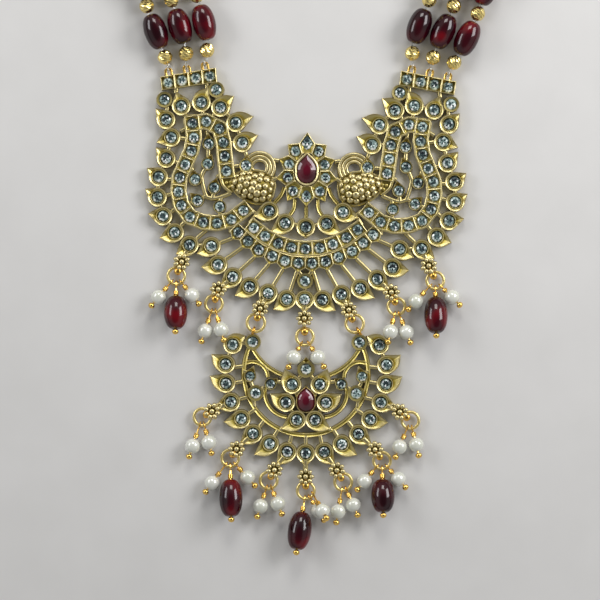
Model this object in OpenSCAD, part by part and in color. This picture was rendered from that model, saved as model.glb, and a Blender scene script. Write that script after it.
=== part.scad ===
// Kemp stone necklace: a cast openwork plaque with two peacocks, a half-moon pendant below it,
// drops of pearls and red beads, and three strands of beads on each side.
// It lies face up on its back. X runs across, Y towards the clasp and Z up out of the surface.

/* [Castings] */
// Thickness of the cast ground plate
plate_t = 1.0; // [0.8:0.1:1.2]
// Height of the stone seats above the back
seat_z = 1.5; // [1.4:0.1:1.7]
// Height of the bezel rims above the back
rim_z = 2.3; // [2.2:0.1:2.6]
// Height of the plain ribs above the back
rib_z = 1.6; // [1.4:0.1:1.8]
// Thickness of a bezel wall
wall = 0.45; // [0.4:0.05:0.55]
// Outer radius of a leaf's round end
leaf_r = 2.4; // [2.3:0.05:2.4]
// Outer radius of a round cup
cup_r = 2.15; // [2.05:0.05:2.2]
// Radius of the seat of a round stone
seat_r = 1.4; // [1.3:0.05:1.45]
// Width of the stone-set channels
channel_w = 3.9; // [3.7:0.1:4.0]
// Width of a rib or stem
rib_w = 0.9; // [0.8:0.05:1.0]
// Radius of the wide end of a peacock's body
body_r = 4.0; // [3.8:0.1:4.1]

/* [Drops] */
// Diameter of a pearl
pearl_d = 4.0; // [3.8:0.1:4.0]
// Diameter of a hanging red bead
drop_d = 6.1; // [5.8:0.1:6.2]
// Mean radius of a jump ring
ring_r = 2.2; // [2.15:0.05:2.25]
// Diameter of the jump rings' wire
ring_wire = 0.8; // [0.7:0.05:0.8]
// Mean radius of the two rings that carry the pendant
link_r = 2.3; // [2.25:0.05:2.35]
// Diameter of a headpin's wire
pin_wire = 0.45; // [0.4:0.05:0.5]

/* [Strands] */
// Diameter of a red strand bead
bead_d = 6.1; // [5.8:0.1:6.1]
// Length of a red strand bead
bead_len = 9.2; // [8.8:0.1:9.2]
// Diameter of a gold ball
ball_d = 3.95; // [3.8:0.05:4.0]
// Distance between neighbouring strands along the neck
strand_gap = 6.5; // [6.4:0.1:7.0]
// Diameter of the clear thread
thread_d = 0.5; // [0.4:0.05:0.5]
// How far the clasp lies above the middle of the plaque
clasp_y = 154; // [150:1:160]

/* [Hidden] */

// How far the middle of the flower lies from the middle of the whole loop
flower_y = -31.85;
// Colours
gold = [0.80, 0.69, 0.36];
warm_gold = [0.85, 0.62, 0.24];
red = [0.45, 0.03, 0.08];
pearl = [0.90, 0.92, 0.86];
clear = [0.85, 0.88, 0.86];
// Smallest clearance between pieces that could touch
clearance = 0.1;
fine = 32;

// Columns of the tables of cups: middle of the stone, then the point of the leaf
X = 0;
Y = 1;
TIP_X = 2;
TIP_Y = 3;

// Leaves round the outside of the plaque's right half, from the top to the middle
outer_leaves = [
    [36.8, 13.2, 39.6, 16.1],
    [35.4, 8.6, 39.3, 7.2],
    [36.6, 3.1, 39.4, 6.1],
    [38.5, -1.7, 41.6, 0.6],
    [38.7, -7.0, 42.0, -4.8],
    [37.2, -11.9, 41.2, -11.3],
    [34.1, -16.1, 37.7, -17.5],
    [30.2, -19.3, 33.4, -21.6],
    [24.5, -19.5, 28.0, -21.5],
    [22.7, -24.3, 26.8, -25.0],
    [18.8, -27.4, 21.8, -30.0],
    [14.4, -29.9, 18.0, -32.2],
    [9.5, -31.5, 11.6, -34.6],
    [4.6, -33.0, 7.9, -35.6]
];
// Leaves of the cluster between the bar and the neck
cluster_leaves = [
    [32.9, 16.8, 34.3, 20.6],
    [27.7, 17.8, 26.2, 21.5],
    [22.7, 16.6, 19.5, 19.5],
    [18.7, 12.7, 14.4, 14.4],
    [16.9, 7.5, 13.1, 9.5]
];
// Smaller leaves on the vine between the neck and the tail
vine_leaves = [
    [25.6, 7.1, 25.9, 10.0],
    [25.8, 1.9, 24.6, 4.5],
    [29.0, -2.2, 29.9, 0.6],
    [24.0, -4.3, 23.4, -1.5],
    [28.3, -7.7, 30.3, -5.7]
];
vine_end = [22.5, -9.2];
vine_cup_r = 1.75;
// Leaves under the flower, and the single ones on the middle line
under_leaves = [[9.6, -10.1, 13.5, -11.4], [5.4, -13.2, 9.0, -15.5]];
crest_leaf = [15.8, 1.6, 15.6, 4.6];
middle_leaves = [[0, -14.2, 0, -17.2], [0, -33.0, 0, -36.6]];
round_cups = [[23.9, 21.2], [37.3, 18.4]];
middle_cup = [0, -28.2];

// Stones of the channel that runs up the neck, over and down the tail
channel_path = [
    [20.9, 0.1], [21.4, 3.9], [21.8, 7.5], [22.9, 11.1], [26.4, 12.9], [29.9, 12.4], [29.5, 8.6],
    [30.1, 5.2], [31.6, 1.6], [33.0, -1.8], [33.3, -5.5], [32.5, -9.0], [30.2, -12.0], [26.7, -13.3],
    [23.1, -13.5], [19.4, -12.5], [16.3, -10.1]
];
// Stones of the crescent, and of the honeycomb row outside it
crescent_path = [
    [-13.5, -14.6], [-10.6, -16.7], [-7.1, -18.5], [-3.7, -19.5], [0, -19.8], [3.7, -19.5],
    [7.1, -18.5], [10.6, -16.7], [13.5, -14.6]
];
honeycomb_path = [
    [-17.5, -15.8], [-15.0, -18.0], [-12.1, -20.2], [-8.6, -21.8], [-5.3, -23.0], [-1.75, -23.5],
    [1.75, -23.5], [5.3, -23.0], [8.6, -21.8], [12.1, -20.2], [15.0, -18.0], [17.5, -15.8]
];
// The box with four stones at the top, corners and stones from the outside in
bar_corners = [[38.5, 24.3], [24.1, 26.9], [23.7, 23.1], [38.0, 20.8]];
bar_stones = 4;
// Share of the bar's length that a wall beside a cell takes, and of its width
bar_wall_u = 0.016;
bar_wall_v = 0.12;

// Flower petals of the right half: point, notch after it, wall foot under that notch, stone
PETAL_NOTCH = 2;
PETAL_FOOT = 4;
PETAL_STONE = 6;
petals = [
    [0, 10.5, 1.95, 7.3, 1.1, 4.9, 0, 7.6],
    [5.1, 7.3, 4.7, 4.4, 2.5, 2.9, 3.0, 5.6],
    [7.3, 3.5, 6.0, 0.7, 3.4, 0.5, 4.6, 2.1],
    [8.0, -1.6, 5.5, -3.5, 3.0, -2.0, 4.9, -1.3],
    [5.0, -7.5, 2.2, -6.5, 1.2, -3.5, 3.5, -4.8],
    [0, -8.9, 0, 0, 0, 0, 0, -6.2]
];
flower_ruby = [0, -0.3];
flower_ruby_r = 3.25;
flower_ruby_len = 5.8;

// Ribs of the fan, from the honeycomb's points to the outer cups
fan_ribs = [
    [1.75, -25.7, 0.6, -27.0], [2.1, -25.6, 3.95, -31.2], [5.8, -25.2, 8.5, -29.9], [9.5, -23.9, 13.2, -28.4],
    [13.3, -22.2, 17.4, -26.1], [16.5, -19.7, 21.2, -23.2], [0, -29.8, 0, -31.4], [19.1, -17.3, 22.7, -18.8]
];
// Short struts that hold the outer leaves to the channel and to each other
struts = [
    [36.5, 17.0, 36.7, 15.0], [33.0, 10.2, 31.3, 11.3], [33.6, 8.6, 31.1, 8.3], [35.0, 2.5, 33.0, 1.9],
    [36.8, -2.2, 34.8, -2.3], [36.9, -6.6, 34.8, -6.0], [35.6, -11.2, 33.9, -9.8], [32.8, -14.7, 31.3, -13.0],
    [28.7, -17.9, 25.9, -15.3], [26.2, -19.4, 28.6, -19.3],
    [35.8, 11.4, 36.2, 10.2],
    [35.8, 6.9, 36.2, 4.8], [37.2, 1.5, 37.9, -0.2], [38.6, -3.3, 38.7, -5.3], [38.2, -8.5, 37.7, -10.3],
    [36.1, -13.0, 35.2, -14.9], [32.6, -17.0, 31.7, -18.3], [23.9, -21.1, 23.3, -22.7],
    [21.2, -25.3, 20.3, -26.4],
    [17.4, -28.3, 15.9, -29.1], [12.8, -30.5, 11.0, -31.1], [8.0, -32.0, 6.1, -32.6],
    [3.1, -33.0, 1.5, -33.0],
    [33.0, 15.2, 31.0, 13.8], [27.6, 16.2, 27.2, 14.6], [24.1, 15.5, 24.7, 13.9], [20.1, 12.2, 21.4, 11.8],
    [18.4, 7.5, 20.0, 7.5], [29.4, 17.6, 31.2, 17.2], [34.5, 16.4, 35.4, 17.3], [24.3, 17.0, 26.1, 17.5],
    [21.6, 15.4, 19.9, 14.0], [18.2, 11.0, 17.4, 9.2], [24.0, 19.8, 23.2, 18.2], [34.4, 20.2, 34.2, 22.0],
    [26.3, 21.3, 26.4, 23.0], [17.8, 1.5, 19.4, 1.4], [16.4, 6.0, 15.8, 4.2], [19.5, -15.9, 19.9, -14.0],
    [18.2, -14.2, 17.8, -11.6]
];
// Stems of the vine and under the flower
stems = [
    [25.7, 5.4, 25.7, 3.5], [25.8, 0.2, 26.3, -2.1], [26.3, -2.1, 27.5, -2.2], [26.3, -2.1, 25.5, -3.6],
    [26.3, -2.1, 26.3, -6.2], [26.3, -6.2, 26.9, -6.9], [26.3, -6.2, 24.0, -8.6], [25.9, 9.5, 26.1, 11.2],
    [29.7, 0.2, 30.3, 1.2], [29.8, -8.2, 31.0, -8.6], [22.4, -10.6, 22.4, -11.8], [22.5, -4.1, 20.7, -3.0],
    [6.0, -6.9, 8.6, -8.5], [2.6, -8.0, 4.8, -11.6], [0, -8.5, 0, -12.4], [7.9, -10.9, 6.6, -11.8],
    [3.6, -13.3, 1.8, -13.8], [12.6, -11.2, 14.6, -9.6], [8.8, -15.3, 9.6, -15.8], [13.4, -11.4, 14.6, -13.3],
    [7.5, 3.0, 8.6, 3.0], [7.7, -1.4, 9.0, -2.3], [7.3, 3.0, 7.3, 3.9]
];

// The crest's ridges and the body of the peacock
crest_middle = [12.1, 1.6];
crest_ridges = [4.2, 3.1, 2.0];
crest_ridge_w = 0.75;
crest_plate_z = 1.1;
crest_from = -20;
crest_to = 205;
body_middle = [13.6, -4.0];
body_turn = 13;
body_len = 12;

// Rosettes of the right half, with the leaf that each grows from
rosettes = [[32.1, -23.7, 30.2, -19.3], [22.5, -30.7, 18.8, -27.4], [11.5, -35.5, 9.5, -31.5]];
middle_rosette = [0, -37.9, 0, -33.0];
rosette_base_z = 1.9;
rosette_base_r = 1.75;
rosette_ball_z = 2.5;
rosette_ball_r = 0.62;
rosette_ring_r = 1.55;
rosette_middle_r = 0.85;
rosette_foot_r = 0.95;
rosette_foot_at = 1.25;
rosette_neck_w = 1.3;
rosette_neck_in = 1.6;
rosette_neck_z = 2.1;

// Pendant, in its own place: leaves, small inner leaves, petals, rosettes
pendant_shift = [0.55, 0];
pendant_turn = 0.7;
pendant_pivot = [0, -43];
pendant_outer = [
    [19.1, -44.8, 16.0, -42.6], [20.9, -49.9, 24.4, -47.5], [20.8, -54.9, 24.8, -53.1],
    [19.5, -59.7, 23.0, -60.6], [16.8, -64.1, 21.1, -64.9], [13.7, -67.9, 16.8, -70.1],
    [9.4, -70.6, 13.2, -73.3], [4.8, -72.6, 7.4, -75.6]
];
pendant_cups = [[13.9, -44.1], [13.1, -57.4]];
pendant_small = [[14.6, -53.0, 13.5, -50.0], [9.2, -55.0, 7.2, -53.4]];
pendant_petals = [[3.6, -55.1, 5.5, -51.3], [5.2, -59.8, 9.1, -57.7], [2.35, -64.3, 6.2, -66.6]];
pendant_top = [0, -51.1, 0, -47.9];
pendant_bottom = [0, -73.0, 0, -76.6];
pendant_rosettes = [[24.4, -62.1, 19.5, -59.7], [18.0, -71.9, 13.7, -67.9], [8.1, -77.3, 4.8, -72.6]];
pendant_middle_rosette = [0, -79.0, 0, -73.0];
moon_middle = [0, -52.1];
moon_r = 16.2;
moon_from = 148;
moon_to = 392;
inner_moon_middle = [4.3, -57.2];
inner_moon_r = 6.4;
pendant_ruby_at = [0, -59.8];
pendant_ruby_r = 2.45;
pendant_ruby_len = 4.3;
// Curved wires of the pendant's right half: middle, radius, and the angles they run between
pendant_arcs = [[1.2, -39.1, 14.4, -73, -28], [14.05, -53.4, 4.15, 64, 178]];
moon_w = 1.2;
pendant_struts = [
    [19.0, -50.7, 16.4, -50.4], [19.0, -54.8, 16.6, -54.4], [17.9, -59.1, 15.2, -58.4],
    [15.4, -63.1, 13.0, -61.5],
    [12.5, -66.7, 10.9, -64.6], [8.6, -69.1, 7.2, -66.9], [4.3, -71.0, 3.7, -68.4], [0, -71.4, 0, -68.4],
    [17.3, -44.6, 15.6, -44.3], [19.6, -46.4, 20.3, -48.3], [20.9, -51.4, 20.8, -53.4],
    [20.5, -56.5, 20.0, -58.2],
    [18.8, -61.2, 17.7, -62.6], [15.9, -65.4, 14.8, -66.6], [12.4, -68.9, 10.9, -69.7],
    [7.9, -71.1, 6.4, -71.9], [3.1, -72.8, 1.6, -72.9], [14.4, -54.6, 13.8, -55.8],
    [10.9, -55.9, 11.9, -56.6], [7.4, -54.4, 5.3, -54.4],
    [13.6, -59.3, 13.4, -60.9], [2.0, -53.6, 1.2, -52.8], [2.6, -57.0, 2.2, -58.2], [3.4, -60.0, 2.2, -59.8],
    [1.9, -62.6, 1.3, -61.8], [6.0, -66.3, 6.6, -67.0], [4.0, -61.5, 3.0, -62.8], [4.4, -56.7, 4.8, -58.1],
    [15.6, -51.8, 16.3, -51.6]
];
pendant_small_r = 1.65;
// The eye over the pendant's right upper cup
pendant_eye = [13.8, -41.35];

// Drops: ring, then the middles of two pearls, their heights, the red bead if there is one, and how
// far round the ring the second pearl's loop has slid from the way to its pearl
RING = 0;
PEARL_A = 2;
PEARL_B = 4;
PEARL_Z = 6;
RUBY = 8;
RUBY_LEN = 10;
SLID = 11;
low = pearl_d / 2;
drops = [
    [-33.5, -27.4, -38.0, -33.0, -29.3, -32.4, low, low, -33.4, -36.9, 8.6, 0],
    [-23.6, -34.5, -25.8, -41.6, -21.6, -41.2, low, 2.65, 0, 0, 0, 0],
    [0.2, -42.7, -2.6, -48.1, 3.7, -48.0, low, low, 0, 0, 0, 0],
    [23.9, -34.4, 22.4, -41.0, 26.6, -41.1, 2.65, low, 0, 0, 0, 0],
    [33.9, -27.5, 28.9, -33.0, 38.3, -31.8, low, low, 34.1, -36.5, 9.4, 0],
    [-26.1, -64.0, -28.5, -71.6, -24.3, -70.6, low, low, 0, 0, 0, 0],
    [-18.7, -74.6, -23.3, -81.1, -14.1, -79.5, low, low, -18.3, -84.8, 9.6, 0],
    [-8.6, -80.2, -10.6, -86.9, -6.1, -86.2, low, low, 0, 0, 0, 0],
    [1.1, -82.7, 4.45, -87.85, 5.45, -87.6, low, 5.95, -0.35, -93.0, 9.8, 21],
    [10.8, -80.3, 9.6, -88.0, 13.5, -86.2, low, low, 0, 0, 0, 0],
    [20.8, -74.6, 16.3, -80.0, 25.1, -79.3, low, low, 21.1, -83.6, 8.6, 0],
    [28.0, -64.0, 25.3, -70.9, 29.6, -70.3, low, low, 0, 0, 0, 0]
];
ring_z = 1.3;
eye_r = 0.95;
eye_wire = 0.7;
loop_r = 0.88;
pin_ball_r = 0.75;
pin_hole = 0.9;
// Height of the middle of a hanging red bead, which lies aslant on its belly
drop_rest_z = 3.5;
wrap_r = 0.5;
wrap_len = 1.6;

// Strands: where the middle strand of each side runs, from the bar to the clasp
left_route = [
    [-31.8, 27.3], [-31.6, 30.1], [-33.1, 36.6], [-35.4, 42.9], [-39.6, 54], [-44.5, 68], [-48.5, 84],
    [-50.5, 100], [-49.5, 117], [-44.5, 133], [-35.5, 146], [-24, 153.4], [-13.2, 154]
];
right_route = [
    [31.8, 27.3], [32.2, 30.4], [34.3, 36.4], [37.0, 42.4], [40.8, 54], [44.8, 68], [48.5, 84],
    [50.5, 100], [49.5, 117], [44.5, 133], [35.5, 146], [24, 153.4], [13.2, 154]
];
route_step = 8;
bar_spread = 4.8;
spread_run = 7.5;
strand_start = 0.95;
loop_z = 1.5;
bead_hole = 0.9;
// Least space between two beads along their thread
bead_slack = 0.2;
hook_r = 0.8;
// The staples that the strands hook into, and how far those of the bar lean outward
loop_half_w = 0.75;
loop_reach = 2.3;
loop_wire = 0.7;
loop_turn = -10;
end_bar_x = 10.2;
end_bar_w = 2.4;
end_bar_over = 2.2;
clasp_r = 3.0;

function strand_name(n) = str(n < 3 ? "left_" : "right_", ["inner", "middle", "outer"][n % 3]);
function side_of(n) = n < 3 ? -1 : 1;
function unit(v) = v / norm(v);
function turn_of(v) = atan2(v[1], v[0]);
function normal_of(v) = [-v[1], v[0]];
function mirrored(p) = [-p[0], p[1]];
function smooth(t) = let (u = min(max(t, 0), 1)) u * u * (3 - 2 * u);

// A point on a smooth curve through four neighbouring points, between the second and the third
function curve_at(a, b, c, d, t) =
    0.5 * (2 * b + (c - a) * t + (2 * a - 5 * b + 4 * c - d) * t * t + (3 * b - a - 3 * c + d) * t * t * t);
function route_points(p) = let (last = len(p) - 1)
    [for (i = [0:last - 1], k = [0:route_step - (i == last - 1 ? 0 : 1)])
        curve_at(p[max(i - 1, 0)], p[i], p[i + 1], p[min(i + 2, last)], k / route_step)];
function lengths(p) = [for (i = 0, s = 0; i < len(p); s = s + (i < len(p) - 1 ? norm(p[i + 1] - p[i]) : 0),
    i = i + 1) s];
function direction_at(p, i) = unit(p[min(i + 1, len(p) - 1)] - p[max(i - 1, 0)]);

// The middle route moved sideways: along the bar by the spacing of its staples, and further on square to
// the route by the strands' own spacing
function strand_points(n) = let (
    points = route_points(n < 3 ? left_route : right_route),
    runs = lengths(points),
    side = side_of(n),
    bar_edge = bar_corners[0] - bar_corners[1],
    bar_out = unit([side * bar_edge[0], bar_edge[1]])
) [for (i = [0:len(points) - 1])
    let (
        eased = smooth(runs[i] / spread_run),
        out = unit(bar_out * (1 - eased) - normal_of(direction_at(points, i)) * side * eased)
    ) points[i] + out * (n % 3 - 1) * (bar_spread + (strand_gap - bar_spread) * eased)];
function point_on(table, s) = [lookup(s, table[0]), lookup(s, table[1])];
function as_table(points) = let (runs = lengths(points))
    [[for (i = [0:len(points) - 1]) [runs[i], points[i][0]]],
     [for (i = [0:len(points) - 1]) [runs[i], points[i][1]]], runs[len(runs) - 1]];
function bead_height(s, total) = let (near = min(s, total - s))
    loop_z + (bead_d / 2 - loop_z) * smooth(near / (strand_start + ball_d));
// The places between the beads of a strand, where its thread shows
function bead_pairs(total) =
    floor((total - 2 * strand_start - ball_d - bead_slack) / (bead_len + ball_d + 2 * bead_slack));
function strand_slack(total) = let (pairs = bead_pairs(total))
    (total - 2 * strand_start - pairs * (bead_len + ball_d) - ball_d) / (2 * pairs + 1);
function gap_run(i, slack) = strand_start + floor(i / 2) * (bead_len + ball_d + 2 * slack)
    + (i % 2) * (ball_d + slack);
function bar_hook(n) = strand_points(n)[0];
function clasp_hook(n) = let (p = strand_points(n)) p[len(p) - 1];
function gap_points(n) = let (
    table = as_table(strand_points(n)),
    total = table[2],
    slack = strand_slack(total)
) [for (i = [0:2 * bead_pairs(total) + 1])
    let (s = gap_run(i, slack)) concat(point_on(table, s), bead_height(s, total))];

// Flat shapes

// A leaf: a circle with a pointed end, whose sides run from the point to just inside the circle
leaf_foot = 0.94;
module leaf(row, r) {
    reach = [row[TIP_X] - row[X], row[TIP_Y] - row[Y]];
    side = acos(min(r / norm(reach), 0.98));
    foot = leaf_foot * r * [cos(side), sin(side)];
    translate([row[X], row[Y]]) {
        circle(r = r, $fn = fine);
        rotate(turn_of(reach))
            polygon([[0, 0], [foot[0], -foot[1]], [norm(reach), 0], foot]);
    }
}

// The hollow of a leaf, a bezel wall inside its edge
module leaf_hollow(row, r) {
    middle = [row[X], row[Y]];
    tip = middle + ([row[TIP_X], row[TIP_Y]] - middle) * (r - wall) / r;
    leaf(concat(middle, tip), r - wall);
}

// A straight rib with square ends between two points
module rib(row, w) {
    run = [row[2] - row[0], row[3] - row[1]];
    translate([row[0], row[1]])
        rotate(turn_of(run))
            translate([-0.3, -w / 2])
                square([norm(run) + 0.6, w]);
}

// The corner of a band at one of its points, out to one side
function band_corner(p, i, off) = let (
    before = i == 0 ? unit(p[1] - p[0]) : unit(p[i] - p[i - 1]),
    after = i == len(p) - 1 ? before : unit(p[i + 1] - p[i]),
    lean = unit(before + after)
) p[i] + normal_of(lean) * off / abs(lean * before);
// A path with a half step added at each end
function with_ends(p) = concat(
    [p[0] - (p[1] - p[0]) / 2], p, [p[len(p) - 1] + (p[len(p) - 1] - p[len(p) - 2]) / 2]);
// The middles between neighbouring stones, where the walls across a band stand
function cell_edges(p) = concat(
    [p[0] - (p[1] - p[0]) / 2], [for (i = [0:len(p) - 2]) (p[i] + p[i + 1]) / 2],
    [p[len(p) - 1] + (p[len(p) - 1] - p[len(p) - 2]) / 2]);

module band(path, w) {
    ends = with_ends(path);
    polygon(concat(
        [for (i = [0:len(ends) - 1]) band_corner(ends, i, w / 2)],
        [for (i = [len(ends) - 1:-1:0]) band_corner(ends, i, -w / 2)]
    ));
}

// One hollow cell of a band, between its two cross walls
module band_cell(path, i, w) {
    edges = cell_edges(path);
    start = edges[i];
    end = edges[i + 1];
    from = i == 0 ? unit(path[1] - path[0]) : unit(path[i] - path[i - 1]);
    to = i == len(path) - 1 ? from : unit(path[i + 1] - path[i]);
    inside = w / 2 - wall;
    middle = unit(from + to);
    stretch = 1 / max(0.75, from * middle);
    polygon([
        start + from * wall / 2 + normal_of(from) * inside,
        path[i] + normal_of(middle) * inside * stretch,
        end - to * wall / 2 + normal_of(to) * inside,
        end - to * wall / 2 - normal_of(to) * inside,
        path[i] - normal_of(middle) * inside * stretch,
        start + from * wall / 2 - normal_of(from) * inside
    ]);
}

// One pointed cell of the honeycomb row, with its point away from the crescent
honeycomb_in = 1.75;
honeycomb_notch = 1.2;
honeycomb_point = 2.5;
honeycomb_half = 1.92;
module honeycomb_cell(i, inset) {
    p = honeycomb_path[i];
    along = direction_at(honeycomb_path, i);
    out = -normal_of(along);
    half = honeycomb_half - inset * 0.6;
    polygon([
        p - along * half - out * (honeycomb_in - inset), p + along * half - out * (honeycomb_in - inset),
        p + along * half + out * (honeycomb_notch - inset / 2), p + out * (honeycomb_point - inset * 1.3),
        p - along * half + out * (honeycomb_notch - inset / 2)
    ]);
}

module ridge_arc(middle, r, w, from, to) {
    steps = 12;
    reach = r + w;
    intersection() {
        translate(middle)
            difference() {
                circle(r = r + w / 2, $fn = 64);
                circle(r = r - w / 2, $fn = 64);
            }
        translate(middle)
            polygon(concat([[0, 0]], [for (k = [0:steps]) let (a = from + (to - from) * k / steps)
                1.2 * reach * [cos(a), sin(a)]]));
    }
}

module both_sides() {
    children();
    mirror([1, 0, 0]) children();
}

module flower_outline() {
    right = [for (row = petals) each [[row[X], row[Y]], [row[PETAL_NOTCH], row[PETAL_NOTCH + 1]]]];
    half = [for (i = [0:len(right) - 2]) right[i]];
    polygon(concat(half, [for (i = [len(half) - 2:-1:1]) mirrored(half[i])]));
}

// The hollow of one petal, drawn in towards the petal's own middle
module petal_hollow(i) {
    row = petals[i];
    last = len(petals) - 1;
    before = i == 0 ? [-petals[0][PETAL_NOTCH], petals[0][PETAL_NOTCH + 1]] :
        [petals[i - 1][PETAL_NOTCH], petals[i - 1][PETAL_NOTCH + 1]];
    foot_before = i == 0 ? [-petals[0][PETAL_FOOT], petals[0][PETAL_FOOT + 1]] :
        [petals[i - 1][PETAL_FOOT], petals[i - 1][PETAL_FOOT + 1]];
    after = i == last ? mirrored(before) : [row[PETAL_NOTCH], row[PETAL_NOTCH + 1]];
    foot = i == last ? mirrored(foot_before) : [row[PETAL_FOOT], row[PETAL_FOOT + 1]];
    points = [[row[X], row[Y]], after, foot, foot_before, before];
    middle = (points[0] + points[1] + points[2] + points[3] + points[4]) / 5;
    polygon([for (p = points) middle + (p - middle) * 0.78]);
}

module stone_seats(places) {
    for (p = places)
        translate([p[X], p[Y]])
            circle(r = seat_r, $fn = fine);
}

// Round solids that lie along a line in any direction
module along(from, to) {
    run = to - from;
    translate(from)
        rotate([0, acos(run[2] / norm(run)), turn_of(run)])
            children();
}

module rod(from, to, r) {
    along(from, to)
        cylinder(r = r, h = norm(to - from), $fn = fine);
}

// An oval bead of revolution along Z about its middle, drilled through
module oval_bead(d, length, hole) {
    steps = 7;
    end_r = 0.42 * d / 2;
    half = length / 2;
    rotate_extrude($fn = 48)
        polygon(concat(
            [[hole / 2, -half]],
            [for (k = [-steps:steps]) let (t = k / steps)
                [end_r + (d / 2 - end_r) * sqrt(max(0, 1 - pow(abs(t), 2.4))), t * half]],
            [[hole / 2, half]]
        ));
}

module round_bead(d, hole) {
    difference() {
        sphere(d = d, $fn = 48);
        cylinder(d = hole, h = 2 * d, center = true, $fn = fine);
    }
}

// A stone of pear outline with a table and facets, its point towards +Y
module pear_stone(r, reach, foot_z, girdle_z, table_z) {
    side = acos(r / reach);
    rounds = 10;
    outline = concat(
        [for (k = [0:rounds]) let (a = 90 + side + k * (360 - 2 * side) / rounds) r * [cos(a), sin(a)]],
        [[0, reach]]
    );
    n = len(outline);
    rings = [[0.62, foot_z], [0.97, girdle_z], [0.93, girdle_z + 0.25], [0.58, table_z]];
    middle = [0, (reach - r) * 0.35];
    points = [for (ring = rings, p = outline) concat((p - middle) * ring[0] + middle, ring[1])];
    color(red)
        polyhedron(points = points, faces = concat(
            [[for (k = [0:n - 1]) k]],
            [for (level = [0:2], k = [0:n - 1]) each [
                [level * n + k, (level + 1) * n + k, (level + 1) * n + (k + 1) % n],
                [level * n + k, (level + 1) * n + (k + 1) % n, level * n + (k + 1) % n]]],
            [[for (k = [n - 1:-1:0]) 3 * n + k]]
        ));
}

// Cast pieces

module rosette(row) {
    middle = [row[0], row[1]];
    leaf_place = [row[2], row[3]];
    to_leaf = unit(leaf_place - middle);
    translate(middle) {
        translate([0, 0, rosette_base_z])
            cylinder(r = rosette_base_r, h = rosette_ball_z + 0.1 - rosette_base_z, $fn = fine);
        translate([0, 0, rosette_ball_z + 0.1])
            sphere(r = rosette_middle_r, $fn = 24);
        for (k = [0:7])
            rotate(turn_of(to_leaf) + k * 45)
                translate([rosette_ring_r, 0, rosette_ball_z])
                    sphere(r = rosette_ball_r, $fn = 24);
        translate(to_leaf * rosette_foot_at)
            cylinder(r = rosette_foot_r, h = rosette_ball_z, $fn = fine);
    }
    neck = to_leaf * rosette_neck_in;
    linear_extrude(rosette_neck_z)
        rib(concat(middle + neck, leaf_place - neck), rosette_neck_w);
}

// The eye of a drop: a standing ring under the rosette's edge, and the stem that holds it
module drop_eye(drop, row) {
    ring = [drop[RING], drop[RING + 1]];
    out = unit(ring - [row[0], row[1]]);
    eye = ring - out * ring_r;
    standing_eye(eye, out);
    eye_stem([row[0], row[1]], eye, out);
}

// A stem from a rosette's middle to the near shoulder of its eye
eye_stem_r = 0.3;
module eye_stem(place, eye, out) {
    shoulder = eye_r * sqrt(0.5);
    rod(concat(place, rosette_ball_z), concat(eye - out * shoulder, ring_z + shoulder), eye_stem_r);
}

module standing_eye(eye, out) {
    translate(concat(eye, ring_z))
        rotate([90, 0, turn_of(out)])
            rotate_extrude($fn = 48)
                translate([eye_r, 0])
                    circle(d = eye_wire, $fn = 24);
}

module plaque_flat() {
    both_sides() {
        for (row = concat(outer_leaves, cluster_leaves, under_leaves))
            leaf(row, leaf_r);
        leaf(crest_leaf, cup_r);
        for (row = vine_leaves)
            leaf(row, vine_cup_r);
        for (p = round_cups)
            translate(p)
                circle(r = cup_r, $fn = fine);
        translate(vine_end)
            circle(r = vine_cup_r, $fn = fine);
        band(channel_path, channel_w);
        polygon(bar_corners);
    }
    for (row = middle_leaves)
        leaf(row, leaf_r);
    translate(middle_cup)
        circle(r = cup_r, $fn = fine);
    flower_outline();
    band(crescent_path, channel_w);
    for (i = [0:len(honeycomb_path) - 1])
        honeycomb_cell(i, 0);
}

module plaque_hollows() {
    both_sides() {
        for (row = concat(outer_leaves, cluster_leaves, under_leaves))
            leaf_hollow(row, leaf_r);
        leaf_hollow(crest_leaf, cup_r);
        for (row = vine_leaves)
            leaf_hollow(row, vine_cup_r);
        for (p = round_cups)
            translate(p)
                circle(r = cup_r - wall, $fn = fine);
        translate(vine_end)
            circle(r = vine_cup_r - wall, $fn = fine);
        for (i = [0:len(channel_path) - 1])
            band_cell(channel_path, i, channel_w);
        bar_cells();
        for (i = [1:len(petals) - 2])
            petal_hollow(i);
    }
    petal_hollow(0);
    petal_hollow(len(petals) - 1);
    for (row = middle_leaves)
        leaf_hollow(row, leaf_r);
    translate(middle_cup)
        circle(r = cup_r - wall, $fn = fine);
    for (i = [0:len(crescent_path) - 1])
        band_cell(crescent_path, i, channel_w);
    for (i = [0:len(honeycomb_path) - 1])
        honeycomb_cell(i, wall * 1.2);
    flower_bezel_hollow();
}

flower_hollow_tip = 0.8;
module flower_bezel_hollow() {
    tip_y = flower_ruby[1] + flower_ruby_len - flower_hollow_tip;
    leaf([flower_ruby[0], flower_ruby[1], 0, tip_y], flower_ruby_r - wall);
}

// A place in the bar, from its outer end to its inner one and from its top edge to its bottom
function in_bar(u, v) = let (
    top = bar_corners[0] + (bar_corners[1] - bar_corners[0]) * u,
    bottom = bar_corners[3] + (bar_corners[2] - bar_corners[3]) * u
) top + (bottom - top) * v;
bar_stone_places = [for (k = [0:bar_stones - 1]) in_bar((k + 0.5) / bar_stones, 0.5)];

module bar_cells() {
    for (k = [0:bar_stones - 1]) {
        start = k / bar_stones + bar_wall_u;
        end = (k + 1) / bar_stones - bar_wall_u;
        top = bar_wall_v;
        bottom = 1 - bar_wall_v;
        polygon([in_bar(start, top), in_bar(end, top), in_bar(end, bottom), in_bar(start, bottom)]);
    }
}

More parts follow.
